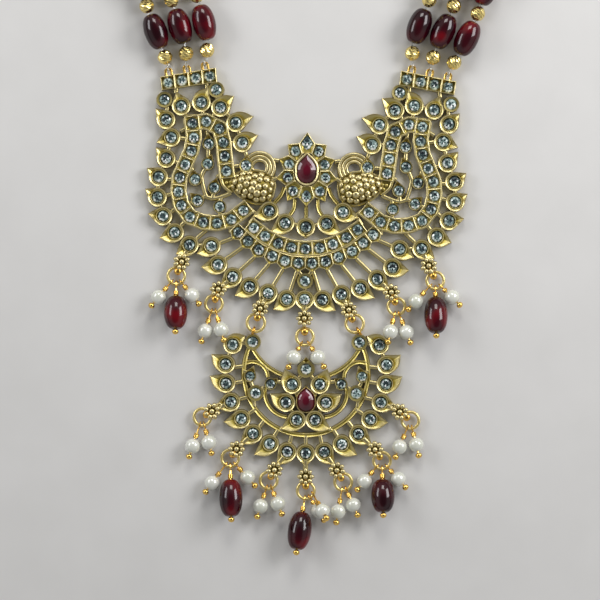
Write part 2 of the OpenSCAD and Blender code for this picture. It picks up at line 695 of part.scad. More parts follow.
module plaque_seats() {
    both_sides() {
        stone_seats(outer_leaves);
        stone_seats(cluster_leaves);
        stone_seats(under_leaves);
        stone_seats([crest_leaf, [petals[1][PETAL_STONE], petals[1][PETAL_STONE + 1]]]);
        stone_seats(channel_path);
        stone_seats(bar_stone_places);
        stone_seats(round_cups);
    }
    stone_seats(middle_leaves);
    stone_seats([middle_cup]);
    stone_seats(crescent_path);
}

module plaque_ribs() {
    both_sides() {
        for (row = concat(fan_ribs, struts, stems))
            rib(row, rib_w);
        for (r = crest_ridges)
            ridge_arc(crest_middle, r, crest_ridge_w, crest_from, crest_to);
    }
}

// The plate that joins the crest's ridges, a little short of their ends
crest_short = 3;
module plaque_crests() {
    w = crest_ridges[0] - crest_ridges[2];
    both_sides()
        ridge_arc(crest_middle, crest_ridges[1], w, crest_from + crest_short, crest_to - crest_short);
}

// An egg of revolution along +X, wide end first, used for the peacock's body
function body_radius(t) = body_r * sqrt(max(0, 1 - pow(abs(t), 2.2))) * (1 - 0.22 * t);

// Radii of its small flat ends
body_front_r = 1.3;
body_back_r = 0.9;
module peacock_body() {
    steps = 8;
    translate(concat(body_middle, 0.2))
        rotate([0, 90, body_turn])
            rotate_extrude($fn = 48)
                polygon(concat(
                    [[0, -body_len / 2], [body_front_r, -body_len / 2]],
                    [for (k = [1 - steps:steps - 1]) [body_radius(k / steps), k / steps * body_len / 2]],
                    [[body_back_r, body_len / 2], [0, body_len / 2]]
                ));
}

// The grains on the body, in rows across it
grain_r = 0.8;
grain_rows = [[-0.72, 2], [-0.42, 4], [-0.12, 5], [0.18, 5], [0.47, 4], [0.74, 3]];

module peacock_grains() {
    translate(concat(body_middle, 0.2))
        rotate(body_turn)
            for (row = grain_rows, k = [0:row[1] - 1]) {
                spread = (k - (row[1] - 1) / 2) * 31;
                r = body_radius(row[0]) - 0.15;
                translate([row[0] * body_len / 2, r * sin(spread), r * cos(spread)])
                    sphere(r = grain_r, $fn = 24);
            }
}

// A staple of cast wire that a strand's thread goes round, its crown at the given place
module strand_loop(at, turn) {
    translate(concat(at, loop_z))
        rotate(turn) {
            for (side = [-1, 1])
                translate([side * loop_half_w, -loop_reach, 0])
                    rotate([-90, 0, 0])
                        cylinder(d = loop_wire, h = loop_reach - loop_half_w, $fn = 24);
            translate([0, -loop_half_w, 0])
                rotate_extrude(angle = 180, $fn = 48)
                    translate([loop_half_w, 0])
                        circle(d = loop_wire, $fn = 24);
        }
}

module above_floor() {
    intersection() {
        children();
        translate([-60, -60, 0])
            cube([120, 120, 10]);
    }
}

plaque_rosette_list = [
    [-32.1, -23.7, -30.2, -19.3], [-22.5, -30.7, -18.8, -27.4], middle_rosette,
    [22.5, -30.7, 18.8, -27.4], [32.1, -23.7, 30.2, -19.3]
];

module plaque() {
    color(gold) {
        difference() {
            union() {
                linear_extrude(rim_z)
                    plaque_flat();
                linear_extrude(rib_z)
                    plaque_ribs();
                linear_extrude(crest_plate_z)
                    plaque_crests();
            }
            translate([0, 0, seat_z])
                linear_extrude(rim_z)
                    plaque_hollows();
            translate([0, 0, plate_t])
                linear_extrude(rim_z)
                    plaque_seats();
        }
        both_sides() {
            above_floor()
                peacock_body();
            peacock_grains();
            for (row = rosettes)
                rosette(row);
        }
        for (n = [0:5])
            strand_loop(bar_hook(n), bar_turn(n));
        rosette(middle_rosette);
        for (k = [0:4])
            drop_eye(drops[k], plaque_rosette_list[k]);
        for (side = [-1, 1])
            link_eye(side);
    }
}

// The pendant's own place, turned a little as it hangs
function pendant_place(p) = let (q = p - pendant_pivot, c = cos(pendant_turn), s = sin(pendant_turn))
    [q[0] * c - q[1] * s, q[0] * s + q[1] * c] + pendant_pivot + pendant_shift;

module in_pendant() {
    translate(concat(pendant_pivot + pendant_shift, 0))
        rotate(pendant_turn)
            translate(concat(-pendant_pivot, 0))
                children();
}

// The rings that carry the pendant, each between an eye of the plaque and one of the pendant
link_top = [11.9, -36.95];
function link_from(side) = [side * link_top[0], link_top[1]];
function link_to(side) = pendant_place([side * pendant_eye[0], pendant_eye[1]]);
function link_middle(side) = (link_from(side) + link_to(side)) / 2;

module link_eye(side) {
    out = unit(link_to(side) - link_from(side));
    eye = link_middle(side) - out * link_r;
    standing_eye(eye, out);
    eye_stem([side * rosettes[2][0], rosettes[2][1]], eye, out);
}

// How far the pendant's eye's stem starts and ends beyond the middle of the eye
stem_from = 0.8;
stem_to = 1.9;
module pendant_link_eye(side) {
    out = unit(link_to(side) - link_from(side));
    eye = link_middle(side) + out * link_r;
    standing_eye(eye, out);
    rod(concat(eye + out * stem_from, ring_z), concat(eye + out * stem_to, ring_z), eye_stem_r);
}

module pendant_flat() {
    both_sides() {
        for (row = concat(pendant_outer, pendant_petals))
            leaf(row, leaf_r);
        for (row = pendant_small)
            leaf(row, pendant_small_r);
        for (p = pendant_cups)
            translate(p)
                circle(r = cup_r, $fn = fine);
    }
    leaf(pendant_top, cup_r);
    leaf(pendant_bottom, leaf_r);
    pendant_bezel(pendant_ruby_r);
}

module pendant_bezel(r) {
    leaf([pendant_ruby_at[0], pendant_ruby_at[1], pendant_ruby_at[0],
        pendant_ruby_at[1] + pendant_ruby_len * r / pendant_ruby_r], r);
}

module pendant_hollows() {
    both_sides() {
        for (row = concat(pendant_outer, pendant_petals))
            leaf_hollow(row, leaf_r);
        for (p = pendant_cups)
            translate(p)
                circle(r = cup_r - wall, $fn = fine);
    }
    leaf_hollow(pendant_top, cup_r);
    leaf_hollow(pendant_bottom, leaf_r);
}

module pendant_wires() {
    ridge_arc(moon_middle, moon_r, moon_w, moon_from, moon_to);
    both_sides() {
        ridge_arc(inner_moon_middle, inner_moon_r, moon_w, -84, 12);
        for (row = pendant_arcs)
            ridge_arc([row[0], row[1]], row[2], rib_w, row[3], row[4]);
        for (row = pendant_struts)
            rib(row, rib_w);
    }
}

module pendant() {
    color(gold) {
        in_pendant() {
            difference() {
                union() {
                    linear_extrude(rim_z)
                        pendant_flat();
                    linear_extrude(rib_z)
                        pendant_wires();
                }
                translate([0, 0, seat_z])
                    linear_extrude(rim_z)
                        pendant_hollows();
                translate([0, 0, plate_t])
                    linear_extrude(rim_z) {
                        both_sides() {
                            stone_seats(pendant_outer);
                            stone_seats(pendant_petals);
                            stone_seats(pendant_small);
                            stone_seats(pendant_cups);
                        }
                        stone_seats([pendant_top, pendant_bottom]);
                        pendant_bezel(pendant_ruby_r - wall);
                    }
            }
            both_sides()
                for (row = pendant_rosettes)
                    rosette(row);
            rosette(pendant_middle_rosette);
        }
        for (k = [5:11])
            drop_eye(drops[k], pendant_rosette_place(k));
        for (side = [-1, 1])
            pendant_link_eye(side);
    }
}

// The rosette that drop k hangs from, in the plaque's frame
function pendant_rosette_place(k) = let (
    own = [pendant_rosettes[0], pendant_rosettes[1], pendant_rosettes[2], pendant_middle_rosette,
        pendant_rosettes[2], pendant_rosettes[1], pendant_rosettes[0]][k - 5],
    side = k < 8 ? -1 : 1
) pendant_place([side * own[0], own[1]]);

module plaque_ruby() {
    translate([flower_ruby[0], flower_ruby[1], seat_z])
        pear_stone(
            r = flower_ruby_r - wall - clearance, reach = flower_ruby_len - 1.3,
            foot_z = clearance, girdle_z = 0.9, table_z = 1.8
        );
}

module pendant_ruby() {
    in_pendant()
        translate([pendant_ruby_at[0], pendant_ruby_at[1], plate_t])
            pear_stone(
                r = pendant_ruby_r - wall - clearance, reach = pendant_ruby_len - 1.1,
                foot_z = clearance, girdle_z = 1.3, table_z = 2.0
            );
}

// Rings and drops

module wire_ring(middle, r, wire) {
    translate(concat(middle, ring_z))
        rotate_extrude($fn = 64)
            translate([r, 0])
                circle(d = wire, $fn = 24);
}

module link_ring(side) {
    color(gold)
        wire_ring(link_middle(side), link_r, ring_wire);
}

module drop_ring(n) {
    color(gold)
        wire_ring([drops[n][RING], drops[n][RING + 1]], ring_r, ring_wire);
}

// The three places of a pin: its loop round the ring, its bead's middle, and the way between
function ring_middle(n) = [drops[n][RING], drops[n][RING + 1], ring_z];
function bead_middle(n, k) = k == 2 ? [drops[n][RUBY], drops[n][RUBY + 1], drop_rest_z] :
    [drops[n][PEARL_A + 2 * k], drops[n][PEARL_A + 2 * k + 1], drops[n][PEARL_Z + k]];
function bead_half(n, k) = k == 2 ? drops[n][RUBY_LEN] / 2 : pearl_d / 2;
function pin_loop(n, k) = let (
    out = bead_middle(n, k) - ring_middle(n),
    turn = turn_of(out) + (k == 1 ? drops[n][SLID] : 0)
) ring_middle(n) + ring_r * [cos(turn), sin(turn), 0];
function has_ruby(n) = drops[n][RUBY_LEN] > 0;

module drop_pearls(n) {
    color(pearl)
        for (k = [0, 1])
            along(bead_middle(n, k), 2 * bead_middle(n, k) - pin_loop(n, k))
                round_bead(pearl_d, pin_hole);
}

module drop_ruby(n) {
    color(red)
        along(bead_middle(n, 2), 2 * bead_middle(n, 2) - pin_loop(n, 2))
            oval_bead(drop_d, drops[n][RUBY_LEN], pin_hole);
}

// A headpin: the loop round the ring, the wraps, the straight wire and the ball
module headpin(n, k) {
    loop = pin_loop(n, k);
    bead = bead_middle(n, k);
    run = norm(bead - loop);
    wrap_end = min(run - bead_half(n, k) - clearance, loop_r + wrap_len);
    ball = run + bead_half(n, k) + pin_ball_r + clearance;
    along(loop, bead) {
        translate([0, 0, loop_r])
            cylinder(d = pin_wire, h = ball - loop_r, $fn = 24);
        translate([0, 0, loop_r + 0.1])
            cylinder(r = wrap_r, h = wrap_end - loop_r - 0.1, $fn = 24);
        translate([0, 0, ball])
            sphere(r = pin_ball_r, $fn = 24);
        rotate([90, 0, 0])
            rotate_extrude($fn = 48)
                translate([loop_r, 0])
                    circle(d = pin_wire, $fn = 24);
    }
}

module pins(first, last) {
    color(warm_gold)
        for (n = [first:last]) {
            headpin(n, 0);
            headpin(n, 1);
            if (has_ruby(n))
                headpin(n, 2);
        }
}

// Strands

module strand_rubies(n) {
    gaps = gap_points(n);
    color(red)
        for (i = [1:2:len(gaps) - 3])
            along((gaps[i] + gaps[i + 1]) / 2, gaps[i + 1])
                oval_bead(bead_d, bead_len, bead_hole);
}

module strand_golds(n) {
    gaps = gap_points(n);
    color(gold)
        for (i = [0:2:len(gaps) - 2])
            along((gaps[i] + gaps[i + 1]) / 2, gaps[i + 1])
                round_bead(ball_d, bead_hole);
}

// The end of a thread, hooked round a cast loop whose wire passes at the given place
hook_angles = [40, 80, 120, 160, 200, 240, 280];
function hook_points(at, way, ahead) = [for (a = hook_angles)
    concat(at + way * cos(a) * hook_r, loop_z + sin(a) * hook_r, ahead)];
function backwards(p) = [for (i = [len(p) - 1:-1:0]) p[i]];
function flat(p) = [p[0], p[1]];
// The way that a staple points, turned from +Y
function staple_way(turn) = [-sin(turn), cos(turn)];
function bar_turn(n) = side_of(n) * loop_turn;
function clasp_turn(n) = -side_of(n) * 90;
// A thread's path from the bar to the clasp, each point with the way that the strand heads there
function thread_points(n) = let (
    gaps = gap_points(n),
    last = len(gaps) - 1,
    way = staple_way(bar_turn(n)),
    back = staple_way(clasp_turn(n))
) concat(
    backwards(hook_points(bar_hook(n), way, way)),
    [for (i = [0:last]) concat(gaps[i], unit(flat(gaps[min(i + 1, last)]) - flat(gaps[max(i - 1, 0)])))],
    hook_points(clasp_hook(n), back, -back)
);

// The tube round a thread's path, with one six-sided ring at each of its points
module thread_tube(path, r) {
    sides = 6;
    last = len(path) - 1;
    places = [for (p = path) [p[0], p[1], p[2]]];
    rings = [for (i = [0:last]) let (
        way = unit(places[min(i + 1, last)] - places[max(i - 1, 0)]),
        across = [-path[i][4], path[i][3], 0],
        up = unit(cross(way, across))
    ) for (k = [0:sides - 1]) places[i] + r * (across * cos(k * 360 / sides) + up * sin(k * 360 / sides))];
    polyhedron(points = rings, faces = concat(
        [[for (k = [0:sides - 1]) k]],
        [for (i = [0:last - 1], k = [0:sides - 1]) each [
            [i * sides + k, (i + 1) * sides + k, (i + 1) * sides + (k + 1) % sides],
            [i * sides + k, (i + 1) * sides + (k + 1) % sides, i * sides + (k + 1) % sides]]],
        [[for (k = [sides - 1:-1:0]) last * sides + k]]
    ));
}

module thread(n) {
    color(clear)
        thread_tube(thread_points(n), thread_d / 2);
}

// Clasp

module end_bar(side) {
    color(gold) {
        translate([side * end_bar_x - end_bar_w / 2, clasp_y - strand_gap - end_bar_over, 0])
            cube([end_bar_w, 2 * (strand_gap + end_bar_over), rim_z]);
        for (n = side < 0 ? [0:2] : [3:5])
            strand_loop(clasp_hook(n), clasp_turn(n));
        standing_eye([side * 2 * clasp_r, clasp_y], [1, 0]);
        eye_end = [side * (2 * clasp_r + eye_r), clasp_y, ring_z];
        rod(eye_end, [side * end_bar_x, clasp_y, ring_z], eye_wire / 2);
    }
}

module clasp() {
    color(gold)
        for (side = [-1, 1])
            translate([side * clasp_r, clasp_y, ring_z])
                rotate(side < 0 ? 0 : 180)
                    rotate_extrude(angle = 300, $fn = 64)
                        translate([clasp_r, 0])
                            circle(d = ring_wire, $fn = 24);
}

module placed() {
    translate([0, flower_y, 0])
        children();
}

placed() plaque();
placed() pendant();
placed() plaque_ruby();
placed() pendant_ruby();
placed() link_ring(-1);  // link_ring_left
placed() link_ring(1);  // link_ring_right
for (n = [1:12])
    placed() drop_ring(n - 1);
for (n = [1:12])
    placed() drop_pearls(n - 1);
for (n = [1, 5, 7, 9, 11])
    placed() drop_ruby(n - 1);
placed() pins(0, 4);  // plaque_pins
placed() pins(5, 11);  // pendant_pins
for (n = [0:5])
    placed() strand_rubies(n);
for (n = [0:5])
    placed() strand_golds(n);
for (n = [0:5])
    placed() thread(n);
placed() end_bar(-1);  // end_bar_left
placed() end_bar(1);  // end_bar_right
placed() clasp();
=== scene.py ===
import math
import random

import bmesh
import bpy
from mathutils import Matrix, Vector


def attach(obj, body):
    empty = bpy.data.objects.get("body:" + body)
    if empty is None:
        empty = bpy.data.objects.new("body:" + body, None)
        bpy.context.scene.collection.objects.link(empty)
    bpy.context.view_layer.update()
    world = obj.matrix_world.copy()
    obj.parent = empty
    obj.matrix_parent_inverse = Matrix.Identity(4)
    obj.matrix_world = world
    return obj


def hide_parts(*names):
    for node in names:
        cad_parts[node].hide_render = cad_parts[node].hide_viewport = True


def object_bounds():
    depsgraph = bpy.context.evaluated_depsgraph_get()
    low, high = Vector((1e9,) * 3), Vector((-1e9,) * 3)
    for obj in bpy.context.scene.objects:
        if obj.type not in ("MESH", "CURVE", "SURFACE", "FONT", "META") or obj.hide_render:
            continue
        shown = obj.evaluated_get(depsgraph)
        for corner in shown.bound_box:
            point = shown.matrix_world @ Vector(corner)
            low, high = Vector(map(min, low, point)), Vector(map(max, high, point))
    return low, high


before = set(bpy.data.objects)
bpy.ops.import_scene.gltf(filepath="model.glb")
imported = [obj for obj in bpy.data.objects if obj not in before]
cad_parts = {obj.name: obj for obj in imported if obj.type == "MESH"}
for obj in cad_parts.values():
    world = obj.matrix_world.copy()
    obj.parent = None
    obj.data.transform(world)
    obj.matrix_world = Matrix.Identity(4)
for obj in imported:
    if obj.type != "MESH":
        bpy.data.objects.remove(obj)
cad_low, cad_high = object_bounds()

MM = 0.001
# How far the flower's stone lies from the middle of the whole necklace
FLOWER_Y = -31.85

# The photograph's frame: millimetres for each pixel, its turn, and the flower's stone in it
PIXEL_MM = 0.26
PHOTO_TURN = math.radians(0.93)
PHOTO_PIXELS = 600
FLOWER_PIXEL = (306.73, 172.64)

# Heights above the back
RIM_Z = 2.14
CREST_Z = 2.32
SEAT_Z = 1.25
STONE_Z = 1.62
RIB_Z = 1.68
RING_Z = 1.3
LOOP_Z = 1.5

# Radii of leaves, cups and stones, then the widths of the channel, the ribs and the grooved stems
LEAF_R = 2.56
CUP_R = 2.15
CREST_CUP_R = 1.9
VINE_CUP_R = 1.75
PENDANT_SMALL_R = 1.65
STONE_R = 1.4
SMALL_STONE_R = 1.27
CHANNEL_W = 4.0
RIB_W = 1.08
WIRE_W = 1.15
# The outer leaves beside the channel's neck have two straight sides, the others one that bulges
STRAIGHT_LEAVES = 6

# Leaves of the right half: the middle of the stone, then the point. A round cup has the middle alone.
OUTER_LEAVES = [
    (36.8, 13.2, 39.6, 16.1), (35.4, 8.6, 39.3, 7.2), (36.6, 3.1, 39.4, 6.1), (38.5, -1.7, 41.6, 0.6),
    (38.7, -7.0, 42.0, -4.8), (37.2, -11.9, 41.2, -11.3), (34.1, -16.1, 37.7, -17.5),
    (30.2, -19.3, 33.4, -21.6), (24.5, -19.5, 28.0, -21.5), (22.7, -24.3, 26.8, -25.0),
    (18.8, -27.4, 21.8, -30.0), (14.4, -29.9, 18.0, -32.2), (9.5, -31.5, 11.6, -34.6),
    (4.6, -33.0, 7.9, -35.6),
]
CLUSTER_LEAVES = [
    (32.9, 16.8, 34.3, 20.6), (27.7, 17.8, 26.2, 21.5), (22.7, 16.6, 19.5, 19.5), (18.7, 12.7, 14.4, 14.4),
    (16.9, 7.5, 13.1, 9.5),
]
VINE_LEAVES = [
    (25.6, 7.1, 25.9, 10.0), (25.8, 1.9, 24.6, 4.5), (29.0, -2.2, 29.9, 0.6), (24.0, -4.3, 23.4, -1.5),
    (28.3, -7.7, 30.3, -5.7),
]
VINE_END = (22.5, -9.2)
UNDER_LEAVES = [(9.6, -10.1, 13.5, -11.4), (5.4, -13.2, 9.0, -15.5)]
CREST_LEAF = (15.8, 1.6, 15.6, 4.6)
MIDDLE_LEAVES = [(0, -14.2, 0, -17.2), (0, -33.0, 0, -36.6)]
ROUND_CUPS = [(23.9, 21.2), (37.3, 18.4)]
MIDDLE_CUP = (0, -28.2)

# Stones of the channel that runs up the neck, over and down the tail
CHANNEL_PATH = [
    (20.9, 0.1), (21.4, 3.9), (21.8, 7.5), (22.9, 11.1), (26.4, 12.9), (29.9, 12.4), (29.5, 8.6),
    (30.1, 5.2), (31.6, 1.6), (33.0, -1.8), (33.3, -5.5), (32.5, -9.0), (30.2, -12.0), (26.7, -13.3),
    (23.1, -13.5), (19.4, -12.5), (16.3, -10.1),
]
# Stones of the two bands under it, from the middle outwards
CRESCENT_RIGHT = [(3.7, -19.5), (7.1, -18.5), (10.6, -16.7), (13.5, -14.6)]
CRESCENT_PATH = [(-x, y) for x, y in reversed(CRESCENT_RIGHT)] + [(0, -19.8)] + CRESCENT_RIGHT
HONEYCOMB_RIGHT = [(1.75, -23.5), (5.3, -23.0), (8.6, -21.8), (12.1, -20.2), (15.0, -18.0), (17.5, -15.8)]
HONEYCOMB_PATH = [(-x, y) for x, y in reversed(HONEYCOMB_RIGHT)] + HONEYCOMB_RIGHT
# A honeycomb cell: how far its inner side, its notches, its point and its ends lie from the stone
HONEYCOMB_IN = 1.75
HONEYCOMB_NOTCH = 1.2
HONEYCOMB_POINT = 2.5
HONEYCOMB_HALF = 1.9
BAR_CORNERS = [(38.5, 24.3), (24.1, 26.9), (23.7, 23.1), (38.0, 20.8)]
BAR_STONES = 4
BAR_FLOOR_Z = 1.35

# Flower petals of the right half: point, notch after it, wall foot under that notch, stone
PETALS = [
    ((0, 10.5), (2.05, 7.6), (1.1, 4.9), (0, 7.85)),
    ((5.1, 7.3), (4.7, 4.4), (2.5, 2.9), (3.0, 5.6)),
    ((7.3, 3.5), (6.0, 0.7), (3.4, 0.5), (4.6, 2.1)),
    ((8.0, -1.6), (5.5, -3.5), (3.0, -2.0), (4.9, -1.3)),
    ((5.0, -7.5), (2.2, -6.5), (1.2, -3.5), (3.5, -4.8)),
    ((0, -8.9), None, None, (0, -6.2)),
]
PETAL_SEAT_R = 1.3
MIDDLE_PETAL_SEAT_R = 1.1
PETAL_FLOOR_Z = 1.7
# The plate under the flower's red stone: its size beside the wall feet round it, and its height
HEART_SHARE = 1.03
HEART_Z = 1.75
# The flower's red stone and its bezel: middle, radius and how far the point reaches
FLOWER_BEZEL = ((0, -0.3), 3.25, 5.95)
FLOWER_STONE = ((0, -0.38), 2.35, 5.0)
FLOWER_STONE_TOP = 3.1

# Straight ribs, each from one end to the other
FAN_RIBS = [
    (1.75, -25.7, 0.6, -27.0), (2.1, -25.6, 3.95, -31.2), (5.8, -25.2, 8.5, -29.9),
    (9.5, -23.9, 13.2, -28.4), (13.3, -22.2, 17.4, -26.1), (16.5, -19.7, 21.2, -23.2), (0, -29.8, 0, -31.4),
    (19.1, -17.3, 22.7, -18.8),
]
STRUTS = [
    (36.5, 17.0, 36.7, 15.0), (33.0, 10.2, 31.3, 11.3), (33.6, 8.6, 31.1, 8.3), (35.0, 2.5, 33.0, 1.9),
    (36.8, -2.2, 34.8, -2.3), (36.9, -6.6, 34.8, -6.0), (35.6, -11.2, 33.9, -9.8),
    (32.8, -14.7, 31.3, -13.0), (28.7, -17.9, 25.9, -15.3), (26.2, -19.4, 28.6, -19.3),
    (35.8, 11.4, 36.2, 10.2), (35.8, 6.9, 36.2, 4.8), (37.2, 1.5, 37.9, -0.2), (38.6, -3.3, 38.7, -5.3),
    (38.2, -8.5, 37.7, -10.3), (36.1, -13.0, 35.2, -14.9), (32.6, -17.0, 31.7, -18.3),
    (23.9, -21.1, 23.3, -22.7), (21.2, -25.3, 20.3, -26.4), (17.4, -28.3, 15.9, -29.1),
    (12.8, -30.5, 11.0, -31.1), (8.0, -32.0, 6.1, -32.6), (3.1, -33.0, 1.5, -33.0),
    (33.0, 15.2, 31.0, 13.8), (27.6, 16.2, 27.2, 14.6), (24.1, 15.5, 24.7, 13.9), (20.1, 12.2, 21.4, 11.8),
    (18.4, 7.5, 20.0, 7.5), (29.4, 17.6, 31.2, 17.2), (34.5, 16.4, 35.4, 17.3), (24.3, 17.0, 26.1, 17.5),
    (21.6, 15.4, 19.9, 14.0), (18.2, 11.0, 17.4, 9.2), (24.0, 19.8, 23.2, 18.2), (34.4, 20.2, 34.2, 22.0),
    (26.3, 21.3, 26.4, 23.0), (17.8, 1.5, 19.4, 1.4), (16.4, 6.0, 15.8, 4.2), (19.5, -15.9, 19.9, -14.0),
    (18.2, -14.2, 17.8, -11.6),
]
# Curved stems, each through its own points: of the vine, under the flower and beside it
STEMS = [
    [(25.7, 5.4), (25.7, 3.5)], [(26.6, 0.4), (27.3, -1.3), (27.1, -3.1), (26.7, -4.6), (26.0, -6.7)],
    [(24.2, -5.9), (24.4, -7.1)], [(22.4, -7.6), (22.1, -6.6)],
    [(27.1, -7.1), (26.3, -6.6), (24.4, -7.1), (22.4, -6.7), (19.6, -5.6)], [(25.9, 9.5), (26.1, 11.2)],
    [(29.7, 0.2), (30.3, 1.2)], [(29.8, -8.2), (31.0, -8.6)], [(22.4, -10.6), (22.4, -11.8)],
    [(22.6, -1.0), (23.4, -1.6)], [(5.7, -3.9), (6.6, -6.0), (8.2, -7.9)],
    [(3.0, -6.9), (3.2, -9.4), (4.3, -11.2)], [(0, -8.5), (0, -12.4)], [(7.9, -10.9), (6.6, -11.8)],
    [(3.6, -13.3), (1.8, -13.8)], [(12.6, -11.2), (14.6, -9.6)], [(8.8, -15.3), (9.6, -15.8)],
    [(13.4, -11.4), (14.6, -13.3)], [(7.3, 3.0), (8.6, 3.2)], [(7.7, -1.4), (9.0, -2.3)],
]
# The grooved ones
FLOWER_STEMS = STEMS[10:13]

# The peacock's crest: the middle of its arc, radius, flutes, their width and the angles that it runs between
CREST_MIDDLE = (12.3, 1.2)
CREST_R = 2.9
CREST_FLUTES = 3
CREST_FLUTE = 0.97
CREST_FROM = math.radians(-20)
CREST_TO = math.radians(216)
CREST_FOOT_Z = 1.15
CREST_LIFT = 0.55
# Its body, the upper half of an egg
BODY_MIDDLE = (14.0, -3.65)
BODY_TURN = math.radians(13)
BODY_LEN = 11.6
BODY_R = 4.0
BODY_Z = 0.2
# How blunt its ends are, and how much narrower it grows towards the neck
BODY_POWER = 2.2
BODY_TAPER = 0.22
# The smooth ground under its grains: how far in it lies, and its steps
BODY_INSET = 0.25
BODY_STEPS = 22
BODY_SIDES = 20
# The lip round its foot, and how far along the body the ground and the lip reach
LIP_Z = 1.05
LIP_R = 0.42
LIP_STEPS = 48
BODY_END = 0.995
LIP_END = 0.97
# The body's grains: size, spacing, how far they stray, rows, how far along the body the outer rows lie, how
# far round it each row runs, how flat they are, and what shares of their size they vary between
GRAIN_R = 0.97
GRAIN_GAP = 1.84
GRAIN_STRAY = 0.25
GRAIN_ROWS = 7
GRAIN_REACH = 0.83
GRAIN_ARC = math.radians(146)
GRAIN_FLAT = 0.66
GRAIN_SIZES = (0.85, 1.08)
# The neck from the body to the channel: corners of its plate, its rim and its grains
NECK = [(16.5, -1.0), (22.3, -2.0), (21.4, -3.9), (19.4, -5.7)]
NECK_Z = 1.3
NECK_RIM = [(22.3, -1.9), (21.6, -3.8), (19.5, -5.6)]
NECK_GRAINS = [(19.8, -2.8), (20.8, -2.9), (20.1, -4.0)]
NECK_GRAIN_R = 0.5

# Rosettes of the right half, each with the leaf that it grows from
ROSETTES = [(32.1, -23.7, 30.2, -19.3), (22.5, -30.7, 18.8, -27.4), (11.5, -35.5, 9.5, -31.5)]
MIDDLE_ROSETTE = (0, -37.9, 0, -33.0)
ROSETTE_Z = 2.5
ROSETTE_RING_R = 1.58
ROSETTE_BALL_R = 0.62
ROSETTE_MIDDLE_R = 0.7
ROSETTE_PETALS = 8
ROSETTE_BALL_SIZES = (0.9, 1.05)
# The plate under a rosette's balls: radius, and height beside theirs
ROSETTE_PLATE = [(1.5, -0.75), (1.62, -0.6), (1.62, -0.35), (1.45, -0.2)]
ROSETTE_NECK_W = 1.3
ROSETTE_NECK_Z = 2.0

# The pendant in its own place, and how it hangs
PENDANT_SHIFT = (0.55, 0)
PENDANT_TURN = math.radians(0.7)
PENDANT_PIVOT = (0, -43)
PENDANT_LEAVES = [
    (19.1, -44.8, 16.0, -42.6), (20.9, -49.9, 24.4, -47.5), (20.8, -54.9, 24.8, -53.1),
    (19.5, -59.7, 23.0, -60.6), (16.8, -64.1, 21.1, -64.9), (13.7, -67.9, 16.8, -70.1),
    (9.4, -70.6, 13.2, -73.3), (4.8, -72.6, 7.4, -75.6), (3.6, -55.1, 5.5, -51.3), (5.2, -59.8, 9.1, -57.7),
    (2.35, -64.3, 6.2, -66.6),
]
PENDANT_CUPS = [(13.9, -44.1), (13.1, -57.4)]
PENDANT_SMALL = [(14.6, -53.0, 13.5, -50.0), (9.2, -55.0, 7.2, -53.4)]
PENDANT_CURL = (22.6, -60.7)
CURL_R = 0.6
CURL_WIRE_R = 0.25
PENDANT_TOP = (0, -51.1, 0, -47.9)
PENDANT_TOP_R = CUP_R + 0.2
PENDANT_BOTTOM = (0, -73.0, 0, -76.6)
PENDANT_ROSETTES = [(24.4, -62.1, 19.5, -59.7), (18.0, -71.9, 13.7, -67.9), (8.1, -77.3, 4.8, -72.6)]
PENDANT_MIDDLE_ROSETTE = (0, -79.0, 0, -73.0)
PENDANT_EYE = (13.8, -41.35)
# The stub that holds it: where its two ends lie beyond the middle of the eye
PENDANT_STUB = (0.8, 1.9)
PENDANT_BEZEL = ((0, -59.9), 2.65, 4.6)
PENDANT_STONE = ((0, -59.95), 2.2, 4.05)
PENDANT_STONE_TOP = 2.9
# Curved double wires: middle, radius and the angles that they run between in degrees
MOON = ((0, -52.1), 16.2, 148, 392)
MOON_W = 1.4
PENDANT_ARC_W = 1.25
PENDANT_ARCS = [((4.3, -57.2), 6.4, -84, 12), ((1.2, -39.1), 14.4, -73, -28), ((14.05, -53.4), 4.15, 64, 178)]
PENDANT_STRUTS = [
    (19.0, -50.7, 16.4, -50.4), (19.0, -54.8, 16.6, -54.4), (17.9, -59.1, 15.2, -58.4),
    (15.4, -63.1, 13.0, -61.5), (12.5, -66.7, 10.9, -64.6), (8.6, -69.1, 7.2, -66.9),
    (4.3, -71.0, 3.7, -68.4), (17.3, -44.6, 15.6, -44.3), (19.6, -46.4, 20.3, -48.3),
    (20.9, -51.4, 20.8, -53.4), (20.5, -56.5, 20.0, -58.2), (18.8, -61.2, 17.7, -62.6),
    (15.9, -65.4, 14.8, -66.6), (12.4, -68.9, 10.9, -69.7), (7.9, -71.1, 6.4, -71.9),
    (3.1, -72.8, 1.6, -72.9), (14.4, -54.6, 13.8, -55.8), (10.9, -55.9, 11.9, -56.6),
    (7.4, -54.4, 5.3, -54.4), (13.6, -59.3, 13.4, -60.9), (2.0, -53.6, 1.2, -52.8),
    (2.6, -57.0, 2.2, -58.2), (3.4, -60.0, 2.2, -59.8), (1.9, -62.6, 1.3, -61.8), (6.0, -66.3, 6.6, -67.0),
    (4.0, -61.5, 3.0, -62.8), (4.4, -56.7, 4.8, -58.1), (15.6, -51.8, 16.3, -51.6),
]
PENDANT_MIDDLE_STRUT = (0, -71.4, 0, -68.4)

